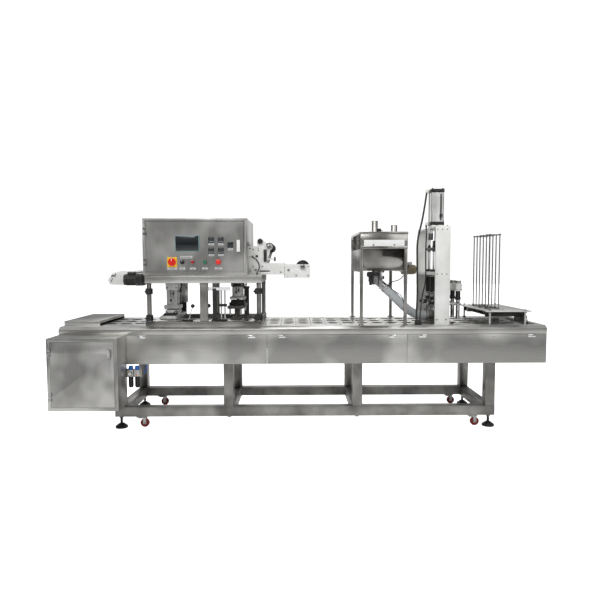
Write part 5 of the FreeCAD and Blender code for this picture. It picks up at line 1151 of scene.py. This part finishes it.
rod_cap = spun("x", spot(1786, 0, 905), [(0.0046, 0), (0.019, 0), (0.019, 0.010), (0.0046, 0.010),
                                         (0.0046, 0)],
               BLACK, 32)
cylinder = [bar("x", 1796, 0, 905, 16, 70, TURNED, 1.5, 32), rod_cap,
            bar("x", 1866, 0, 905, 19, 10, BLACK, 1, 32), slab(1800, 1836, -12, 12, 918, 931, TURNED, 1)]
join(cylinder, "separator_cylinder", "machine")
rod_piece = [bar("x", 1711, 0, 905, 4, 84, CHROME, sides=20),
             slab(1705, 1711, -10, 10, 897, 925, TURNED, 0.8)]
join(rod_piece, "separator_rod", "cup_separator")
air = [tube([spot(1871, -6, 920), spot(1874, -40, 940), spot(1874, -180, 944), spot(1868, -320, 930),
             spot(1862, -352, 880), spot(1862, -352, 851)], 4 * MM, BLACK)]
join(air, "separator_air_line", "machine")
print("cup dispenser done")

# %% [markdown]
# ## Base, casing and air preparation
# The lower half is plain, so its small hardware carries the scale: nuts on the feet, hub caps and treads,
# hinge pins, panel screws and the two-bowl air unit.

# %% Casters and feet
metal = []
for number in (1, 2, 3, 4):
    wheel_low, wheel_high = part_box(f"caster_wheel_{number}")
    centre = Vector(((wheel_low.x + wheel_high.x) / 2, (wheel_low.y + wheel_high.y) / 2,
                     (wheel_low.z + wheel_high.z) / 2))
    wide = wheel_high.y - wheel_low.y
    caps = [disc("y", (centre.x, centre.y + side * wide / 2, centre.z), 0.016, side * 0.0012, GREY, 0.0004,
                 32)
            for side in (-1, 1)]
    join(caps, f"caster_hub_caps_{number}", f"wheel_{number}")
for x in (-1521, -622, 445, 1547):
    for y in (-361, 361):
        metal.append(bar("z", x, y, 84, 17, 14, TURNED, 0.8, 6))
join(metal, "feet_lock_nuts", "machine")

# %% Panel and rail screws
screws = []
for y, way in ((-401, -1), (401, 1)):
    screws += bolts([(x, y + way * 19, z) for x in (-1540, -1120, -700, -240, 180, 470, 900, 1320,
                                                    1560) for z in (560, 762)],
                    "y", way, 3.2)
join(screws, "panel_screws", "machine")
rail_bolts = bolts([(x, -402, 814) for x in (-1900, -1500, -1000, -500, 0, 500, 1000, 1500, 1900)], "y", -1,
                   4.5)
rail_bolts += bolts([(x, 402, 814) for x in (-1900, -1500, -1000, -500, 0, 500, 1000, 1500, 1900)], "y", 1,
                    4.5)
join(rail_bolts, "deck_rail_screws", "machine")

# %% Air preparation unit
parts, black, bright = [], [], []
for x in (-1419, -1367):
    black.append(hoop("z", spot(x, -414, 440), 0.0205, 0.0024, BLACK, 36, 8))
    black.append(slab(x - 1.2, x + 1.2, -435.5, -433, 366, 432, BLACK))
    parts.append(lobed("z", x, -414, 500, 18.5, 22, 16, 0.05, BLUE))
    bright += bolts([(x - 17, -437, 480), (x + 17, -437, 480), (x - 17, -437, 456), (x + 17, -437, 456)],
                    "y", -1, 2.6)
black.append(slab(-1396, -1390, -432, -396, 448, 492, BLACK, 1))
gauge = [bar("y", -1419, -437, 468, 16, -13, BLACK, 1.5, 36),
         bar("y", -1419, -449.5, 468, 13.5, -1.2, WHITE, 0, 36),
         slab(-1420, -1418, -451.5, -450.6, 468, 479, RED)]
bright += [bar("x", -1444, -414, 470, 9, -18, BRASS, 1, 24), bar("x", -1342, -414, 470, 9, 16, BRASS, 1, 24)]
orange = [slab(-1372, -1362, -439, -436.5, 452, 462, ORANGE, 0.6),
          bar("x", -1326, -414, 470, 8, 8, BLACK, 1, 20)]
lines = [tube([spot(-1318, -414, 470), spot(-1300, -414, 474), spot(-1292, -408, 520),
               spot(-1290, -372, 600)], 4.5 * MM, BLUE),
         tube([spot(-1462, -414, 470), spot(-1472, -414, 440), spot(-1474, -404, 300),
               spot(-1474, -380, 208)], 4.5 * MM, BLACK)]
join(parts, "regulator_knobs", "machine")
join(black + lines + orange, "air_unit_rings_and_lines", "machine")
join(gauge, "air_unit_gauge", "machine")
join(bright, "air_unit_fittings", "machine")
print("base done")
